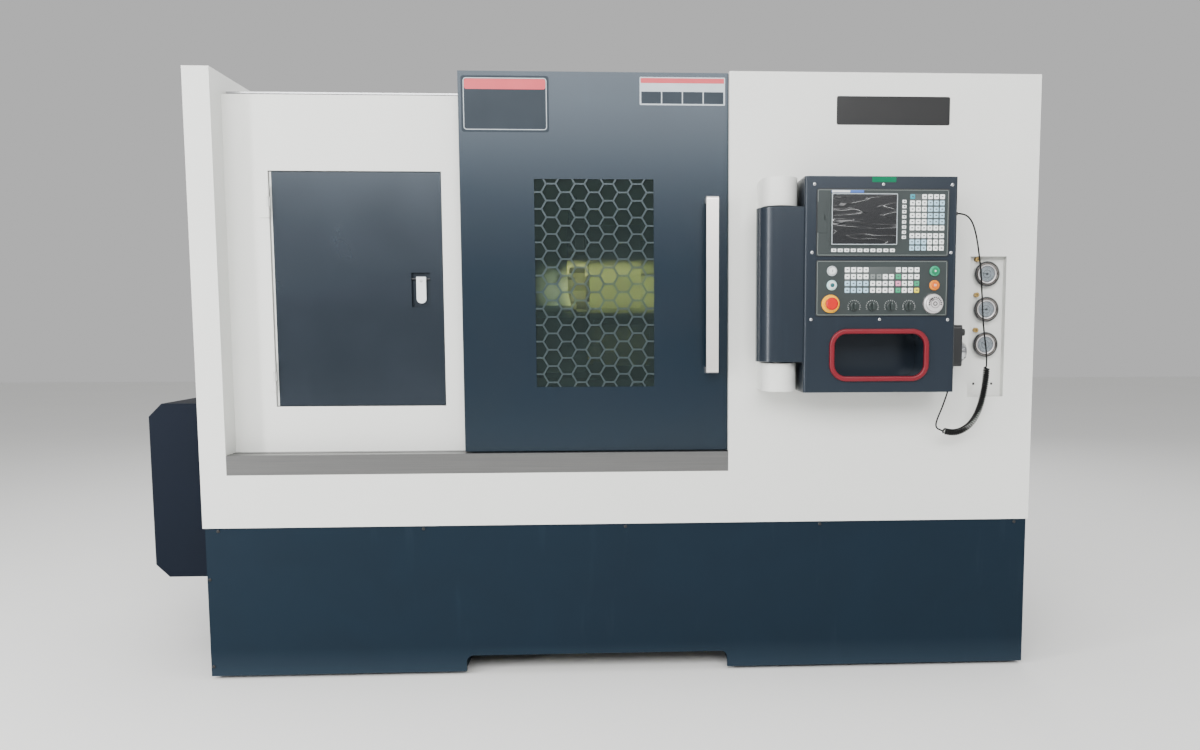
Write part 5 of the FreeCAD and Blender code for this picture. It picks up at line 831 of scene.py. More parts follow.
class Repeater:
    """Geometry Nodes trees that place a shape in a row, round a ring or on the host's own points."""

    def __init__(self) -> None:
        """Builds one tree for each pattern."""
        self.trees = {pattern.name: self.plant(pattern) for pattern in Pattern}

    def plant(self, pattern: Pattern) -> Tree:
        """Builds a pattern's tree with its named inputs.

        Args:
            pattern: The pattern.

        Returns:
            The tree.
        """
        tree = bpy.data.node_groups.new("repeat_" + pattern.name.lower(), "GeometryNodeTree")
        tree.interface.new_socket("Geometry", in_out="OUTPUT", socket_type="NodeSocketGeometry")
        shared = {"Geometry": "Geometry", "Shape": "Object", "Finish": "Material"}
        for name, kind in {**shared, **pattern.value}.items():
            tree.interface.new_socket(name, in_out="INPUT", socket_type="NodeSocket" + kind)
        source = add(tree, "NodeGroupInput").outputs
        shape = add(tree, "GeometryNodeObjectInfo", {"Object": source["Shape"]}).outputs["Geometry"]
        index = add(tree, "GeometryNodeInputIndex")
        copies: dict[str, Any] = {"Instance": shape, "Points": source["Geometry"]}
        if pattern is Pattern.ROW:
            terms = {0: index, 1: source["Step"], 2: source["Start"]}
            place = add(tree, VECTOR_MATH, terms, operation="MULTIPLY_ADD")
        if pattern is Pattern.RING:
            sweep = {0: index, 1: source["Angle Step"], 2: source["First Angle"]}
            angle = add(tree, MATH, sweep, operation="MULTIPLY_ADD")
            sine, cosine = (add(tree, MATH, {0: angle}, operation=kind) for kind in ("SINE", "COSINE"))
            unit = add(tree, JOIN, {0: sine, 2: cosine})
            place = add(tree, VECTOR_MATH, {0: unit, "Scale": source["Radius"]}, operation="SCALE")
            copies["Rotation"] = add(tree, JOIN, {1: angle})
        if pattern is not Pattern.POINTS:
            line = add(tree, "GeometryNodeMeshLine", {"Count": source["Count"], "Offset": (0.0, 0.0, 0.0)})
            copies["Points"] = add(tree, "GeometryNodeSetPosition", {"Geometry": line, "Position": place})
        placed = add(tree, "GeometryNodeInstanceOnPoints", copies)
        if pattern is Pattern.RING:
            swing = {"Geometry": placed, "Translation": source["Centre"], "Rotation": source["Turn"]}
            placed = add(tree, "GeometryNodeTransform", swing)
        solid = add(tree, "GeometryNodeRealizeInstances", {"Geometry": placed})
        dressed = add(tree, "GeometryNodeSetMaterial", {"Geometry": solid, "Material": source["Finish"]})
        add(tree, "NodeGroupOutput", {"Geometry": dressed})
        return tree

    def lay(
        self, name: str, pattern: Pattern, shape: Piece, sizes: dict[str, Any], owner: Sequence[str],
        points: Sequence[Vector] = (),
    ) -> None:
        """Repeats a shape, bakes the result into one plain mesh and settles it.

        Args:
            name: The result's name.
            pattern: How the copies are placed.
            shape: The shape at the origin; it is removed afterwards.
            sizes: Values of the tree's named inputs.
            owner: Body, slot and replaced nodes of the result, as settle takes them.
            points: The host's points, for the POINTS pattern.
        """
        data = bpy.data.meshes.new(name)
        data.from_pydata([tuple(point) for point in points], [], [])
        host = link(bpy.data.objects.new(name, data))
        modifier = host.modifiers.new("repeat", "NODES")
        modifier.node_group = self.trees[pattern.name]
        values = {"Shape": shape, "Finish": shape.data.materials[0], **sizes}
        for item in modifier.node_group.interface.items_tree:
            if item.in_out == "INPUT" and item.name in values:
                modifier[item.identifier] = values[item.name]
        bpy.context.view_layer.update()
        baked = bpy.data.meshes.new_from_object(host.evaluated_get(bpy.context.evaluated_depsgraph_get()))
        host.modifiers.remove(modifier)
        host.data = baked
        bpy.data.objects.remove(shape)
        settle(host, *owner)

    def scatter(self, name: str, shape: Piece, points: Sequence[Vector], *owner: str) -> None:
        """Repeats a shape on points, for the body, slot and replaced nodes given last."""
        self.lay(name, Pattern.POINTS, shape, {}, owner, points)

    def dial(
        self, name: str, shape: Piece, centre: Vector, radius: float, count: int, angles: tuple[float, float],
        *owner: str, turn: float = 0.0,
    ) -> None:
        """Repeats a shape round a dial that faces the front.

        Args:
            name: The result's name.
            shape: The shape at the origin.
            centre: Middle of the dial.
            radius: Radius of the ring, in millimetres.
            count: Number of copies.
            angles: First angle and the step from copy to copy, in degrees, clockwise from the top.
            owner: Body, slot and replaced nodes of the result.
            turn: Turn of the whole dial about z, in degrees.
        """
        first, step = (math.radians(angle) for angle in angles)
        sizes = {"Count": count, "Radius": radius * MM, "First Angle": first, "Angle Step": step}
        places = {"Centre": tuple(centre), "Turn": (0.0, 0.0, math.radians(turn))}
        self.lay(name, Pattern.RING, shape, {**sizes, **places}, owner)


# ---------------------------------------------------------------- enclosure


@dataclass
class Enclosure:
    """Sheet enclosure and base: coats, screws, the blank plate and the rear louvres."""

    repeater: Repeater
    skirt_screw_x: tuple[float, ...] = (42, 635, 1230, 1814, 2409)
    skirt_screw_z: float = 447.0
    side_screw_x: float = 12.0
    side_screw_z: tuple[float, ...] = (303, 41)
    plate_sides: Sides = (1848, 2180, 1621, 1702)
    plate_thickness: float = 1.6
    hood_length: float = 304.0
    hood_pitch: float = 28.0
    hood_count: int = 12
    hood_drop: float = 204.0
    cover_inset: float = 3.0
    screw_inset: float = 30.0
    motor_screw_inset: float = 20.0
    bracket_screw_y: float = 49.5

    def build(self) -> None:
        """Dresses the covers and adds the small parts on them."""
        dress("powder_coat_light", "left_end_cover", "lower_front_cover", "fixed_front_panel", "roof_cover")
        dress("powder_coat_light", "control_cabinet", "rear_cover", "gauge_panel", "console_brackets")
        dress("powder_coat_skirt", "machine_base")
        dress("powder_coat_cover", "motor_cover")
        dress("brushed_stainless_sill", "guide_strip")
        dress("bright_steel", "door_top_rail")
        dress("zinc_plated_steel", "levelling_feet")
        self.front_screws()
        self.blank_plate()
        self.louvre_hoods()
        self.rear_screws()
        self.motor_screws()
        self.bracket_screw()

    def front_screws(self) -> None:
        """Black button-head screws along the skirt's top and left edge."""
        front = depth_of(face_of("machine_base"))
        places = [spot(x, front, self.skirt_screw_z) for x in self.skirt_screw_x]
        places += [spot(self.side_screw_x, front, z) for z in self.side_screw_z]
        head = screw_head(5.0, 3.0, 2.2, "moulded_black_abs")
        self.repeater.scatter("skirt_screws", head, places, "root", "black_plastic")

    def blank_plate(self) -> None:
        """Glossy black plate without any print on the cabinet's front."""
        depths = (-self.plate_thickness, 0.0)
        plate = tablet("blank_plate", self.plate_sides, depths, 5.0, 0.8, "gloss_black_acrylic")
        settle(plate, "root", "panel_black")

    def louvre_hoods(self) -> None:
        """Pressed hoods over the ventilation slots of the rear cover."""
        left, right, _, top = sides_of("rear_cover")
        rear = depth_of(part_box("rear_cover")[1])
        half = self.hood_length / 2
        section = ((0.0, 0.0), (9.0, 1.0), (8.0, 5.0), (0.0, 15.0))
        stations = ((-half, 0.45), (-half + 8, 1.0), (half - 8, 1.0), (half, 0.45))
        for number, share in enumerate((0.25, 0.75)):
            loops = [[Vector((x, y * shrink, z)) * MM for y, z in section] for x, shrink in stations]
            start = spot((right - left + 2 * self.cover_inset) * share, rear, top - self.hood_drop)
            sizes = {
                "Count": self.hood_count,
                "Start": tuple(start),
                "Step": (0.0, 0.0, -self.hood_pitch * MM),
            }
            hood = skin("hood", loops, "powder_coat_light")
            owner = ("root", "cabinet_white")
            self.repeater.lay(f"louvre_hoods_{number + 1}", Pattern.ROW, hood, sizes, owner)

    def rear_screws(self) -> None:
        """Screws round the rear cover."""
        low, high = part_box("rear_cover")
        edge = self.screw_inset * MM
        across = (low.x + edge, 0.0, high.x - edge)
        places = [Vector((x, high.y, z)) for x in across for z in (low.z + edge, high.z - edge)]
        places += [Vector((x, high.y, (low.z + high.z) / 2)) for x in (low.x + edge, high.x - edge)]
        head = screw_head(6.0, 3.2, 2.6, "zinc_plated_steel", -FRONT)
        self.repeater.scatter("rear_screws", head, places, "root", "steel")

    def motor_screws(self) -> None:
        """Black screws down the front of the motor cover."""
        low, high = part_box("motor_cover")
        x = high.x - self.motor_screw_inset * MM
        edge = self.screw_inset * MM
        places = [Vector((x, low.y, z)) for z in (low.z + edge, high.z - edge)]
        head = screw_head(5.0, 3.0, 2.2, "moulded_black_abs")
        self.repeater.scatter("motor_cover_screws", head, places, "root", "black_plastic")

    def bracket_screw(self) -> None:
        """Small screw on top of the upper bracket."""
        low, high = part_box("console_brackets")
        centre = Vector(((low.x + high.x) / 2, low.y + self.bracket_screw_y * MM, high.z))
        profile = [(0, 6.0), (1.6, 6.0), (3.6, 4.2), (4.2, 2.0), (2.4, 1.8)]
        screw = turned("bracket_screw", centre, Vector((0, 0, 1)), profile, "zinc_plated_steel", 20)
        settle(screw, "root", "steel")


@dataclass
class Workroom:
    """Bed, spindle, carriage, turret and drive inside the covers, with the light behind the window.

    The lamps lie behind the door's front sheet, and their narrow beams light a level band of the work
    area. Each beam has its name, the place of its middle and its width in millimetres, its power in watts
    and its colour.
    """

    beam_depth: float = 110.0
    beam_middle: float = 1176.0
    beam_height: float = 146.0
    beam_spread: float = 7.0
    beams: tuple[tuple[str, float, float, float, Place], ...] = (
        ("work_light", 1190.0, 330.0, 1.9, (0.84, 0.90, 0.26)),
        ("end_light", 965.0, 120.0, 0.10, (0.70, 0.90, 0.62)),
    )

    def build(self) -> None:
        """Dresses the inner pieces and hangs the lamps."""
        dress("enamelled_cast_iron", "bed_casting", "headstock", "tailstock")
        dress("carriage_enamel", "saddle", "cross_slide")
        dress("turned_steel", "spindle", "spindle_pulley", "motor_pulley", "chuck_body", "quill")
        dress("blackened_steel", "turret_disc")
        dress("bright_steel", "chuck_jaw_1", "chuck_jaw_2", "chuck_jaw_3")
        dress("ribbed_rubber_belt", "drive_belt")
        dress("black_motor_enamel", "spindle_motor")
        dress("lining_enamel", "splash_guard")
        for name, x, width, energy, colour in self.beams:
            place = spot(x, self.beam_depth, self.beam_middle)
            lamp = softbox(name, place, (width * MM, self.beam_height * MM), energy, Vector((0, 1, 0)))
            lamp.data.spread = math.radians(self.beam_spread)
            lamp.data.color = colour


def softbox(name: str, place: Vector, size: tuple[float, float], energy: float, aim: Vector) -> Piece:
    """Rectangular area light.

    Args:
        name: The light's name.
        place: Where it is, in frame metres.
        size: Its width and height.
        energy: Its power in watts.
        aim: The direction that it shines in.

    Returns:
        The light.
    """
    data = bpy.data.lights.new(name, "AREA")
    data.shape = "RECTANGLE"
    data.size, data.size_y = size
    data.energy = energy
    lamp = link(bpy.data.objects.new(name, data))
    lamp.location = place
    lamp.rotation_euler = aim.to_track_quat("-Z", "Y").to_euler()
    return lamp


# ---------------------------------------------------------------- doors


@dataclass
class SlidingDoor:
    """Main door: coat, pane, handle and the two blank labels."""

    left_sides: Sides = (768, 1018, 1598, 1756)
    right_sides: Sides = (1279, 1526, 1677, 1756)
    lift: float = 0.5
    field_count: int = 4

    def build(self) -> None:
        """Dresses the door and lays its labels."""
        dress("powder_coat_navy", "door_panel")
        dress("tinted_polycarbonate", "door_window")
        dress("brushed_stainless_handle", "door_handle")
        self.left_label()
        self.right_label()

    def lay_field(self, name: str, sides: Sides, lift: float, corner: float, finish: str) -> None:
        """Lays one flat colour field of a label.

        Args:
            name: Its name.
            sides: Its sides.
            lift: How far it stands before the door.
            corner: Corner radius.
            finish: Name of its finish.
        """
        front = depth_of(face_of("door_panel"))
        settle(tablet(name, sides, (front - lift, front), corner, 0.1, finish), "main_door", "panel_black")

    def left_label(self) -> None:
        """Left label: dark field in a light line, with a plain header."""
        left, right, _, high = self.left_sides
        front = depth_of(face_of("door_panel")) - self.lift
        self.lay_field("label_1_base", self.left_sides, self.lift, 8.0, "label_field_slate")
        edge = shrunk(self.left_sides, 6)
        line = band("label_1_line", edge, (front - 0.2, front + 0.1), 9.0, 2.2, "label_border_silver")
        settle(line, "main_door", "panel_black")
        header = (left + 9, right - 9, high - 38, high - 9)
        self.lay_field("label_1_header", header, self.lift + 0.2, 7.0, "label_header_red")

    def right_label(self) -> None:
        """Right label: plain header over a light row and four dark fields."""
        left, right, low, high = self.right_sides
        self.lay_field("label_2_base", self.right_sides, self.lift, 3.0, "label_border_silver")
        header = (left + 3, right - 3, high - 17, high - 3)
        self.lay_field("label_2_header", header, self.lift + 0.2, 1.5, "label_header_red")
        width = (right - left - 6) / self.field_count
        for i in range(self.field_count):
            start = left + 3 + i * width
            sides = (start + 1.5, start + width - 1.5, low + 4, low + 38)
            self.lay_field(f"label_2_field_{i + 1}", sides, self.lift + 0.2, 1.5, "label_field_slate")


@dataclass
class AccessDoor:
    """Access door in the fixed panel: coat, latch and its eyelet."""

    eyelet_drop: float = 12.0

    def build(self) -> None:
        """Dresses the door and adds the latch's eyelet."""
        dress("powder_coat_door", "access_door")
        dress("latch_zinc", "access_latch")
        centre = face_of("access_latch")
        centre.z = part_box("access_latch")[1].z - self.eyelet_drop * MM
        profile = [(-0.4, 4.2), (0.5, 4.2), (0.9, 3.6), (0.9, 2.2), (-0.4, 2.2)]
        eyelet = turned("latch_eyelet", centre, FRONT, profile, "zinc_plated_steel", 20, True)
        settle(eyelet, "latch", "steel")


# ---------------------------------------------------------------- gauges


@dataclass
class GaugeBoard:
    """Three pressure gauges: dials, ticks, needles and glasses, the tray's screws and painted shadows in the
    fittings' bores.
    """

    repeater: Repeater
    count: int = 3
    dial_radius: float = 22.0
    dial_depth: float = 4.0
    ticks: int = 25
    sweep: float = 270.0
    needle_turns: tuple[float, ...] = (-60.0, -95.0, -80.0)
    tray_sheet: float = 2.0
    screw_spread: float = 27.5
    screw_height: float = 39.0

    def build(self) -> None:
        """Dresses the gauges and builds each face."""
        dress("dark_chrome_rim", "pressure_gauges")
        dress("turned_brass", "gauge_fittings")
        low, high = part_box("pressure_gauges")
        reach = (high.x - low.x) / 2
        pitch = (high.z - low.z - 2 * reach) / (self.count - 1)
        for i in range(self.count):
            self.gauge(i, Vector((low.x + reach, low.y + self.dial_depth * MM, low.z + reach + i * pitch)))
        tray_low, tray_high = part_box("gauge_panel")
        floor = tray_high.y - self.tray_sheet * MM
        sides = [low.x + reach + side * self.screw_spread * MM for side in (-1, 1)]
        places = [Vector((x, floor, tray_low.z + self.screw_height * MM)) for x in sides]
        head = screw_head(3.6, 2.0, 1.5, "moulded_black_abs")
        self.repeater.scatter("tray_screws", head, places, "root", "black_plastic")
        self.fitting_bores(pitch)

    def fitting_bores(self, pitch: float) -> None:
        """Painted shadow: a dark disc on the face of each brass fitting, for the shade in its bore.

        Args:
            pitch: The gauges' pitch, in metres.
        """
        low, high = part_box("gauge_fittings")
        reach = (high.x - low.x) / 2
        profile = [(0.0, 2.2), (0.12, 2.2), (0.12, 1.9)]
        bore = turned("bore", ORIGIN, FRONT, profile, "fitting_bore_shadow", 24)
        places = [Vector((low.x + reach, low.y, high.z - reach - i * pitch)) for i in range(self.count)]
        self.repeater.scatter("fitting_bores", bore, places, "root", "black_plastic")

    def gauge(self, index: int, centre: Vector) -> None:
        """Dial, rings, scale, needle and glass of one gauge.

        Args:
            index: Number of the gauge from the lowest up.
            centre: Middle of its dial.
        """
        name = f"gauge_{index + 1}"
        ink = "printed_legend_ink"
        radius = self.dial_radius
        dial = [(-0.5, radius), (0.4, radius), (0.6, radius - 0.4)]
        line = [(0.5, radius * 0.55), (0.75, radius * 0.55), (0.75, radius * 0.5), (0.5, radius * 0.5)]
        hub = [(0.4, 3.4), (2.2, 3.4), (2.8, 2.4), (2.8, 0.5)]
        dome = [(2.9, radius + 4), (3.2, radius + 4), (3.6, radius), (3.9, 12.0), (3.95, 1.0)]
        parts = [
            ("dial", dial, "dial_face_grey", "white_plastic", 48, False),
            ("inner_ring", line, ink, "black_plastic", 48, True),
            ("hub", hub, ink, "black_plastic", 24, False),
            ("glass", dome, "gauge_glass", "glass", 48, False),
        ]
        for part, outer, inner, rise, finish, slot in (
            ("rim", 33.0, 28.6, 3.4, "grey_chrome_rim", "chrome"),
            ("groove", 28.6, 27.6, 2.6, "moulded_black_abs", "black_plastic"),
            ("ring", 27.6, radius + 1.6, 2.2, "anodised_silver", "chrome"),
            ("seal", radius + 1.6, radius, 1.0, "moulded_black_abs", "black_plastic"),
        ):
            crown = (rise + 0.2, (outer + inner) / 2)
            profile = [(0.2, outer), (rise, outer), crown, (rise * 0.6, inner), (0.2, inner)]
            parts.append((part, profile, finish, slot, 48, True))
        for part, profile, finish, slot, sides, ring in parts:
            settle(turned(f"{name}_{part}", centre, FRONT, profile, finish, sides, ring), "root", slot)
        angles = (-self.sweep / 2, self.sweep / (self.ticks - 1))
        face = centre + FRONT * 0.5 * MM
        owner = ("root", "black_plastic")
        mark = tick(1.9, 0.8, 0.3, ink)
        self.repeater.dial(name + "_ticks", mark, face, radius - 3.4, self.ticks, angles, *owner)
        turn = math.radians(self.needle_turns[index])
        ahead = Vector((math.sin(turn), 0, math.cos(turn)))
        start = centre + FRONT * 1.2 * MM
        needle = bar(
            name + "_needle", start - ahead * 5 * MM, start + ahead * (radius - 6) * MM, FRONT, 1.6, 0.5, ink,
        )
        settle(needle, *owner)


# ---------------------------------------------------------------- console


@dataclass
class Keypad:
    """Block of keys: its first key's place, its pitches and its layout, row by row, in millimetres."""

    first_x: float
    first_z: float
    pitch_x: float
    pitch_z: float
    width: float
    height: float
    rows: tuple[str, ...]
    column_gaps: tuple[int, ...] = ()
    column_gap: float = 0.0
    row_gap_after: int = 99
    row_gap: float = 0.0

    def places(self) -> list[tuple[str, float, float]]:
        """Lays out the keys.

        Returns:
            Letter, x and z of every key.
        """
        found = []
        for row, letters in enumerate(self.rows):
            z = self.first_z - row * self.pitch_z - (self.row_gap if row > self.row_gap_after else 0)
            for column, letter in enumerate(letters):
                gaps = sum(1 for gap in self.column_gaps if column > gap)
                if letter != ".":
                    found.append((letter, self.first_x + column * self.pitch_x + gaps * self.column_gap, z))
        return found


@dataclass
class Console:
    """Swivelling console: panels, display, keypads, switches, scales and the red rim."""

    repeater: Repeater
    screw_places: tuple[tuple[float, float], ...] = (
        (1753, 1428), (1944, 1428), (2136, 1428), (1748, 1243), (2136, 1243), (1747, 1059), (1939, 1059),
        (2131, 1058),
    )
    panel_thickness: float = 2.5
    key_height: float = 2.4
    tag_sides: Sides = (1912, 1979, 1434, 1449)
    flap_sides: Sides = (1760, 1787, 1296, 1378)
    base_margin: float = 1.2
    mark_reach: float = 2.7
    knob_scale_radius: float = 16.8
    knob_scale_marks: int = 13
    knob_scale_sweep: float = 230.0
    wheel_tick_radius: float = 28.3
    wheel_ticks: int = 50
    wheel_mark_radius: float = 16.6
    wheel_marks: int = 12
    wheel_mark_angles: tuple[float, float] = (-100.0, 18.0)
    keypads: tuple[Keypad, ...] = (
        Keypad(
            2024.5, 1394.8, 16.6, 17.0, 13.0, 13.0,
            ("T.WWWW", "WWWBBB", "WWWBBB", "WWWBBB", "WWWBBB", "WWWWWW", "WWWWWW", "BBBWWW", "BBBWWW"),
            row_gap_after=5, row_gap=4.0,
        ),
        Keypad(2002.0, 1381.5, 1.0, 13.9, 11.0, 8.6, ("W",) * 8),
        Keypad(1807.3, 1248.6, 18.15, 1.0, 13.5, 9.0, ("W" * 10,)),
        Keypad(
            1846.0, 1195.5, 17.4, 18.8, 13.5, 13.5,
            ("WWWW....WWWW", "WWWWDDWWGWWW", "BBBBWWWWPWWG", "BBBBWWWWGWWY"),
            column_gaps=(3, 7), column_gap=1.6,
        ),
    )
    knobs: int = 4
    # Depths of the housing's front and of the panels' faces
    housing: float = field(init=False)
    face: float = field(init=False)

    def build(self) -> None:
        """Dresses the console and adds everything on its face."""
        dress("powder_coat_console", "console_housing")
        dress("moulded_red_rim", "pocket_ring")
        dress("polyester_film_panel", "display_panel", "operation_panel")
        dress("moulded_bezel_abs", "screen")
        dress("switch_ring_plating", "button_bezels")
        dress("opal_white_plastic", "power_on_button", "power_off_button")
        dress("signal_green_plastic", "cycle_start_button")
        dress("signal_orange_plastic", "feed_hold_button")
        dress("signal_red_plastic", "estop_button")
        dress("moulded_knob_abs", *(f"override_knob_{i + 1}" for i in range(self.knobs)))
        dress("anodised_silver", "handwheel")
        self.housing = depth_of(face_of("console_housing"))
        self.face = self.housing - self.panel_thickness
        self.screws()
        self.display()
        self.card_flap()
        self.keys()
        self.button_marks()
        self.knob_marks()
        self.wheel_scale()
        self.wheel_face()

    def screws(self) -> None:
        """Silver screws round the panels and the green tag on the top edge."""
        head = screw_head(4.6, 2.6, 1.8, "polished_chrome")
        places = [spot(x, self.housing, z) for x, z in self.screw_places]
        self.repeater.scatter("panel_screws", head, places, "console", "chrome")
        depths = (self.housing - 0.5, self.housing)
        tag = tablet("green_tag", self.tag_sides, depths, 1.5, 0.2, "label_green_tag")
        settle(tag, "console", "green_plastic")

    def display(self) -> None:
        """Display glass in its silver frame, the plain strip over it, and round each panel a black band of
        painted shade in its gap and a grey line of painted highlight along its raised frame line.
        """
        face = self.face
        front = depth_of(face_of("screen"))
        sides = sides_of("screen")
        left, _, _, top = sides
        depths = (front - 0.5, front)
        glass = tablet("display_glass", shrunk(sides, 3.0), depths, 1.5, 0.2, "display_glass_in_film")
        settle(glass, "console", "panel_black")
        blue = (left + 1, left + 90, top + 1.5, top + 8.5)
        pale = (left + 1.5, left + 52, top + 2.0, top + 8.0)
        pieces = [
            band("display_border", shrunk(sides, 1.2), (front - 0.6, front), 2.4, 1.8, "label_border_silver"),
            tablet("header_strip", blue, (face - 0.35, face), 0.8, 0.1, "label_blue_strip"),
            tablet("header_strip_pale", pale, (face - 0.5, face - 0.3), 0.8, 0.1, "white_print_ink"),
        ]
        for node in ("display_panel", "operation_panel"):
            sides = sides_of(node)
            depths = (face - 0.5, face + 0.05)
            # Painted shade and highlight: the black band stands for the shadow in the gap round the panel,
            # the grey line for the highlight on its raised frame line
            pieces.append(band(node + "_edge", sides, depths, 6.0, 1.8, "moulded_black_abs"))
            pieces.append(band(node + "_edge_line", shrunk(sides, 3.2), depths, 4.0, 1.0, "panel_edge_grey"))
        for piece in pieces:
            settle(piece, "console", "panel_grey")

    def card_flap(self) -> None:
        """Flap of the card slot left of the display, as a shallow outline with a finger lip."""
        _, right, low, high = self.flap_sides
        centre = (low + high) / 2
        depths = (self.face - 0.6, self.face)
        inside = shrunk(self.flap_sides, 1.8)
        lip = (right - 7, right - 4, centre - 8, centre + 8)
        for piece in (
            band("card_flap_line", self.flap_sides, depths, 2.0, 1.2, "moulded_black_abs"),
            tablet("card_flap", inside, depths, 1.0, 0.4, "polyester_film_panel"),
            tablet("card_flap_lip", lip, (self.face - 1.6, self.face - 0.5), 1.2, 0.4, "abs_flap"),
        ):
            settle(piece, "console", "panel_grey")

    def keys(self) -> None:
        """Keypads: bases, keys in their colours and a dark mark on each key."""
        owner = ("console", "key_white", "panel_keys")
        base = self.face - 0.5
        bases = []
        groups: dict[tuple[str, float, float], list[Vector]] = {}
        marks = []
        for pad in self.keypads:
            places = pad.places()
            across = [x for _, x, _ in places]
            upward = [z for _, _, z in places]
            half_x, half_z = pad.width / 2 + self.base_margin, pad.height / 2 + self.base_margin
            sides = (min(across) - half_x, max(across) + half_x, min(upward) - half_z, max(upward) + half_z)
            bases.append(tablet("keypad_base", sides, (base, self.face), 2.0, 0.2, "abs_flap"))
            for letter, x, z in places:
                groups.setdefault((letter, pad.width, pad.height), []).append(spot(x, base, z))
                marks.append(spot(x, self.face - self.key_height, z))
        settle(merged("keypad_bases", bases, "abs_flap"), *owner)
        colours = {key.value[0]: key.name.lower() for key in KeyColour}
        for number, ((letter, width, height), points) in enumerate(sorted(groups.items())):
            colour = colours[letter]
            cap = self.key_cap(width, height, "silicone_key_" + colour)
            self.repeater.scatter(f"keys_{colour}_{number + 1}", cap, points, *owner)
        left, right = (Vector((side * self.mark_reach, 0, 0.2)) * MM for side in (-1, 1))
        mark = bar("mark", left, right, FRONT, 3.2, 0.12, "key_legend_ink")
        self.repeater.scatter("key_marks", mark, marks, *owner)

    def key_cap(self, width: float, height: float, finish: str) -> Piece:
        """Key at the origin, facing the front, with drawn-in and softened edges.

        Args:
            width, height: Its sizes, in millimetres.
            finish: Name of its finish.

        Returns:
            The key, as a shape to repeat.
        """
        sides = (-width / 2, width / 2, -height / 2, height / 2)
        corner = min(2.0, height / 6)
        steps = ((0.0, 0.0), (-1.3, 0.25), (-1.7, 0.6), (-1.9, 1.5))
        loops = [[point - spot(0, 0, 0) for point in outline(sides, corner, *step)] for step in steps]
        return skin("key_cap", loops, finish)

    def button_marks(self) -> None:
        """Plain signs on the four buttons: a line, a disc, a triangle and two lines."""
        up = Vector((0, 0, 3.2 * MM))
        head = face_of("power_on_button")
        line = bar("power_on_mark", head - up, head + up, FRONT, 1.6, 0.3, "printed_legend_ink")
        settle(line, "power_on", "black_plastic")
        disc = [(0.0, 6.0), (0.3, 6.0), (0.4, 5.6)]
        lens = turned("power_off_lens", face_of("power_off_button"), FRONT, disc, "signal_teal_plastic", 32)
        settle(lens, "power_off", "green_plastic")
        head = face_of("cycle_start_button")
        angles = [2 * math.pi * i / 3 for i in range(3)]
        loops = [
            [head + Vector((math.cos(a) * reach, -rise, math.sin(a) * reach)) * MM for a in angles]
            for rise, reach in ((0.0, 3.8), (0.3, 3.5))
        ]
        settle(skin("cycle_start_mark", loops, "white_print_ink"), "cycle_start", "white_plastic")
        head = face_of("feed_hold_button")
        places = [head + Vector((side * 1.8 * MM, 0, 0)) for side in (-1, 1)]
        lines = [bar("hold_line", p - up, p + up, FRONT, 1.4, 0.3, "white_print_ink") for p in places]
        settle(merged("feed_hold_mark", lines, "white_print_ink"), "feed_hold", "white_plastic")

    def knob_marks(self) -> None:
        """Line on each override knob and its scale on the panel."""
        radius, count = self.knob_scale_radius, self.knob_scale_marks
        angles = (-self.knob_scale_sweep / 2, self.knob_scale_sweep / (count - 1))
        owner = ("console", "white_plastic")
        for i in range(1, self.knobs + 1):
            node = f"override_knob_{i}"
            top = face_of(node)
            top.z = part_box(node)[1].z - 2 * MM
            low = top - Vector((0, 0, 4 * MM))
            line = bar(f"knob_{i}_line", low, top, FRONT, 1.0, 0.25, "panel_edge_grey")
            settle(line, f"knob_{i}", "white_plastic")
            centre = middle(node)
            centre.y = EDGE.y + self.face * MM
            mark = tick(1.6, 0.8, 0.2, "white_print_ink")
            self.repeater.dial(f"knob_{i}_scale", mark, centre, radius, count, angles, *owner)

    def wheel_scale(self) -> None:
        """Graduated ring round the handwheel."""
        face = middle("handwheel")
        face.y = EDGE.y + self.face * MM
        ring = [(0.0, 29.5), (0.6, 29.5), (0.8, 29.1), (0.8, 27.2), (0.0, 27.2)]
        plate = turned("wheel_ring", face, FRONT, ring, "moulded_black_abs", 48, True)
        settle(plate, "console", "black_plastic")
        top = face + FRONT * 0.8 * MM
        mark = tick(0.9, 0.5, 0.15, "white_print_ink")
        radius, count = self.wheel_tick_radius, self.wheel_ticks
        angles = (0, 360 / count)
        self.repeater.dial("wheel_ticks", mark, top, radius, count, angles, "console", "white_plastic")

    def wheel_face(self) -> None:
        """Dark marks, edge line and hub on the handwheel's own face."""
        face = face_of("handwheel")
        owner = ("pulse_wheel", "white_plastic")
        ink = "wheel_mark_ink"
        mark = tick(2.2, 3.4, 0.15, ink)
        radius, count = self.wheel_mark_radius, self.wheel_marks
        self.repeater.dial("wheel_marks", mark, face, radius, count, self.wheel_mark_angles, *owner)
        for name, outer, inner in (("wheel_hub_ring", 6.0, 3.6), ("wheel_line", 12.2, 11.0)):
            ring = [(0.0, outer), (0.3, outer), (0.3, inner), (0.0, inner)]
            settle(turned(name, face, FRONT, ring, ink, 40, True), *owner)


# ---------------------------------------------------------------- pendant and cord


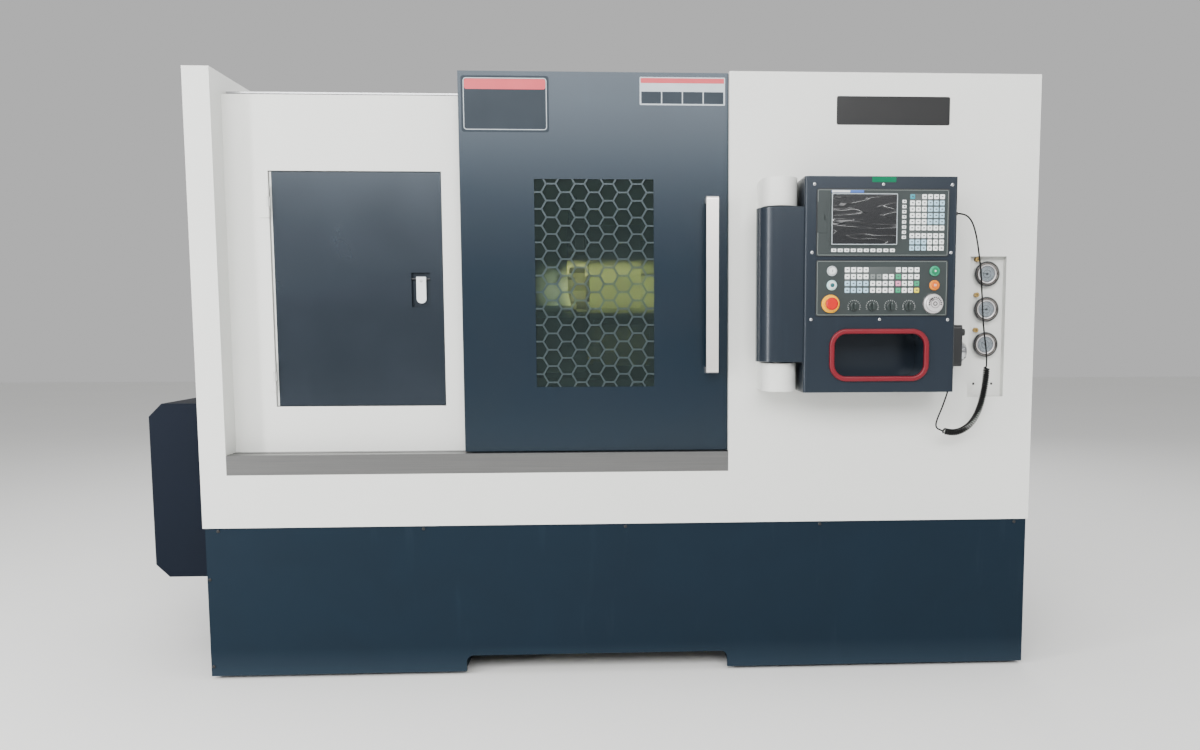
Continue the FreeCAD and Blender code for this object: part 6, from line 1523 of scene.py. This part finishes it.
@dataclass
class Pendant:
    """Handheld pendant on the console's side and its curly cord, whose three routes meet end to end."""

    repeater: Repeater
    dial_plane: float = 36.0
    tick_radius: float = 31.5
    ticks: int = 40
    selector_spread: float = 18.0
    selector_height: float = 1022.0
    cord_diameter: float = 4.6
    coil_diameter: float = 20.0
    curls: int = 42
    points_per_curl: int = 14
    ease: float = 14.0
    swing: float = 11.0
    # The spline cuts the corners of its control points by this share of their length
    shortening: float = 0.985
    lead: tuple[Place, ...] = (
        (2176, -100, 1357), (2194, -100, 1357), (2216, -97, 1342), (2233, -90, 1306), (2246, -81, 1255),
        (2257, -73, 1199), (2264, -67, 1138), (2269, -63, 1082), (2275, -60, 1027), (2283, -58, 982),
        (2287, -57, 948), (2287, -57, 930),
    )
    coil: tuple[Place, ...] = (
        (2287, -57, 930), (2287, -57, 902), (2284, -57, 868), (2278, -58, 834), (2270, -58, 802),
        (2257, -59, 772), (2238, -60, 747), (2210, -62, 731), (2179, -64, 728), (2150, -66, 738),
    )
    tail: tuple[Place, ...] = (
        (2150, -66, 738), (2142, -67, 741), (2137, -68, 749), (2138, -69, 761), (2143, -70, 777),
        (2152, -72, 800), (2159, -75, 824), (2166, -79, 850), (2171, -83, 876), (2174, -85, 898),
        (2174, -85, 912),
    )

    def build(self) -> None:
        """Dresses the pendant and makes its marks and the cord."""
        dress("moulded_black_abs", "pendant_body", "cord_glands")
        dress("polished_chrome", "pendant_dial")
        self.marks()
        self.cord()

    def marks(self) -> None:
        """Ticks round the pendant's dial and a white line across each selector."""
        owner = ("console", "white_plastic")
        ink = "white_print_ink"
        low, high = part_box("pendant_body")
        centre = middle("pendant_dial")
        face = Vector((low.x + self.dial_plane * MM, centre.y, centre.z))
        mark = tick(1.0, 0.6, 0.2, ink)
        angles = (0, 360 / self.ticks)
        self.repeater.dial("pendant_ticks", mark, face, self.tick_radius, self.ticks, angles, *owner, turn=90)
        for number, side in enumerate((-1, 1)):
            y = centre.y + side * self.selector_spread * MM
            start = Vector((high.x, y, self.selector_height * MM))
            end = start + Vector((0, 0, 8 * MM))
            settle(bar(f"selector_{number + 1}_line", start, end, Vector((1, 0, 0)), 1.6, 0.3, ink), *owner)

    def spline(self, name: str, points: Sequence[Vector], steps: int) -> Piece:
        """Curve of one smooth open spline.

        Args:
            name: The curve's name.
            points: Its control points, in frame metres.
            steps: Its steps from point to point.

        Returns:
            The curve.
        """
        data = bpy.data.curves.new(name, "CURVE")
        data.dimensions = "3D"
        line = data.splines.new("NURBS")
        line.points.add(len(points) - 1)
        for target, point in zip(line.points, points):
            target.co = (*point, 1.0)
        line.order_u = 3
        line.use_endpoint_u = True
        line.resolution_u = steps
        return link(bpy.data.objects.new(name, data))

    def coil_axis(self) -> list[Vector]:
        """Smooths the coil's middle line.

        Returns:
            Points along it, in frame metres.
        """
        guide = self.spline("coil_guide", [spot(*point) for point in self.coil], 24)
        bpy.context.view_layer.update()
        graph = bpy.context.evaluated_depsgraph_get()
        mesh = bpy.data.meshes.new_from_object(guide.evaluated_get(graph))
        points = [vertex.co.copy() for vertex in mesh.vertices]
        bpy.data.objects.remove(guide)
        bpy.data.meshes.remove(mesh)
        return points

    def wound(self, along: float, run: float) -> float:
        """Share of the curls that is wound by a distance.

        Args:
            along: The distance from the curls' start.
            run: Length of the curls, which ease in and out.

        Returns:
            The share, from 0 to 1.
        """
        if along > run / 2:
            return 1 - self.wound(run - along, run)
        ease = self.ease * MM
        part = min(along, ease) / ease
        return (ease * (part**3 - part**4 / 2) + max(0.0, along - ease)) / (run - ease)

    def curl_points(self) -> list[Vector]:
        """Winds the curls round the coil's line, easing out of the lead and into the tail.

        Returns:
            Their control points, in frame metres.
        """
        line = self.coil_axis()
        reach = [0.0]
        for one, other in zip(line, line[1:]):
            reach.append(reach[-1] + (other - one).length)
        sides = []
        across = FRONT.copy()
        for i in range(len(line)):
            ahead = (line[min(i + 1, len(line) - 1)] - line[max(i - 1, 0)]).normalized()
            across = (across - ahead * across.dot(ahead)).normalized()
            sides.append((across.copy(), ahead.cross(across)))
        start = self.cord_diameter * MM
        run = reach[-1] - 2 * start
        # A control polygon's corners lie outside its spline by the cosine
        radius = (self.coil_diameter - self.cord_diameter) / 2 * MM / math.cos(math.pi / self.points_per_curl)
        count = self.curls * self.points_per_curl
        points = [line[0]]
        step = 0
        for i in range(1, count):
            low, high = 0.0, run
            while high - low > 1e-7:
                half = (low + high) / 2
                low, high = (half, high) if self.wound(half, run) < i / count else (low, half)
            distance = start + low
            while reach[step + 1] < distance:
                step += 1
            share = (distance - reach[step]) / (reach[step + 1] - reach[step])
            part = min(1.0, min(low, run - low) / (self.swing * MM))
            out = radius * part * part * (3 - 2 * part)
            angle = 2 * math.pi * self.curls * i / count
            one, other = (a.lerp(b, share) for a, b in zip(sides[step], sides[step + 1]))
            centre = line[step].lerp(line[step + 1], share)
            points.append(centre + (one * math.cos(angle) + other * math.sin(angle)) * out)
        points.append(line[-1])
        return points

    def cord(self) -> None:
        """One cord from the gland to the pendant: lead, curls and tail on a single spline."""
        lead = [spot(*point) for point in self.lead]
        tail = [spot(*point) for point in self.tail]
        points = lead[:-1] + self.curl_points() + tail[1:]
        piece = self.spline("pendant_cord", points, 4)
        piece.data.bevel_depth = self.cord_diameter / 2 * MM
        piece.data.bevel_resolution = 3
        piece.data.use_fill_caps = True
        piece.data.materials.append(bpy.data.materials["pvc_cord_jacket"])
        settle(piece, "console", "rubber", "cord_lead", "curly_cord", "cord_tail")


# ---------------------------------------------------------------- studio


@dataclass
class Studio:
    """Pale floor, soft lights and the camera at the photograph's place.

    Each light has its name, its place and size in frame metres and its power in watts.
    """

    camera_place: Place = (1232.83, -2785.65, 1054.38)
    yaw: float = 0.04787
    pitch: float = 0.08946
    roll: float = -0.0022
    focal_px: float = 949.98
    centre_px: tuple[float, float] = (670.97, 406.76)
    photo_px: tuple[float, float] = (1200.0, 750.0)
    surroundings: float = 0.55
    floor_reach: float = 14.0
    aim: Place = (0.0, 0.0, 0.9)
    lights: tuple[tuple[str, Place, tuple[float, float], float], ...] = (
        ("front_light", (-0.3, -6.2, 3.9), (6.5, 2.6), 560.0),
        ("key_light", (-3.8, -3.6, 3.0), (2.4, 2.4), 100.0),
        ("strip_light", (-3.2, -2.6, 1.3), (0.3, 2.0), 75.0),
        ("fill_light", (3.8, -3.0, 2.4), (2.4, 2.4), 35.0),
        ("top_light", (0.0, -0.2, 4.6), (4.5, 4.5), 100.0),
        ("back_light", (0.5, 4.2, 3.0), (3.5, 3.5), 110.0),
    )

    def build(self) -> None:
        """Makes floor, even pale surroundings, lights and camera."""
        shape = bmesh.new()
        bmesh.ops.create_grid(shape, x_segments=4, y_segments=4, size=self.floor_reach)
        from_bmesh("studio_floor", shape, "studio_floor_paint")
        world = bpy.data.worlds.new("studio")
        world.use_nodes = True
        background = world.node_tree.nodes["Background"]
        fill(world.node_tree, background, {"Color": "FFFFFF", "Strength": self.surroundings})
        bpy.context.scene.world = world
        for name, place, size, energy in self.lights:
            softbox(name, Vector(place), size, energy, Vector(self.aim) - Vector(place))
        self.camera()

    def camera(self) -> None:
        """Camera solved from the photograph's edges."""
        data = bpy.data.cameras.new("camera")
        width, height = self.photo_px
        data.sensor_width = 36.0
        data.lens = self.focal_px / width * data.sensor_width
        data.shift_x = (width / 2 - self.centre_px[0]) / width
        data.shift_y = (self.centre_px[1] - height / 2) / width
        data.clip_end = 100.0
        camera = link(bpy.data.objects.new("camera", data))
        level = math.cos(self.pitch)
        ahead = Vector((math.sin(self.yaw) * level, math.cos(self.yaw) * level, -math.sin(self.pitch)))
        right = Vector((math.cos(self.yaw), -math.sin(self.yaw), 0.0))
        up = right.cross(ahead)
        tilted_right = right * math.cos(self.roll) + up * math.sin(self.roll)
        tilted_up = -right * math.sin(self.roll) + up * math.cos(self.roll)
        turn = Matrix((tilted_right, tilted_up, -ahead)).transposed()
        camera.matrix_world = Matrix.Translation(spot(*self.camera_place)) @ turn.to_4x4()
        bpy.context.scene.camera = camera


# ---------------------------------------------------------------- the whole machine


def main() -> None:
    """Builds every sub-assembly in order."""
    logging.basicConfig(level=logging.INFO, format="%(name)s: %(message)s")
    for finish in palette():
        finish.build()
    repeater = Repeater()
    for part in (
        Studio(), Pendant(repeater), Enclosure(repeater), Workroom(), SlidingDoor(), AccessDoor(),
        GaugeBoard(repeater), Console(repeater),
    ):
        part.build()
    bpy.context.view_layer.update()


if __name__ == "__main__":
    main()
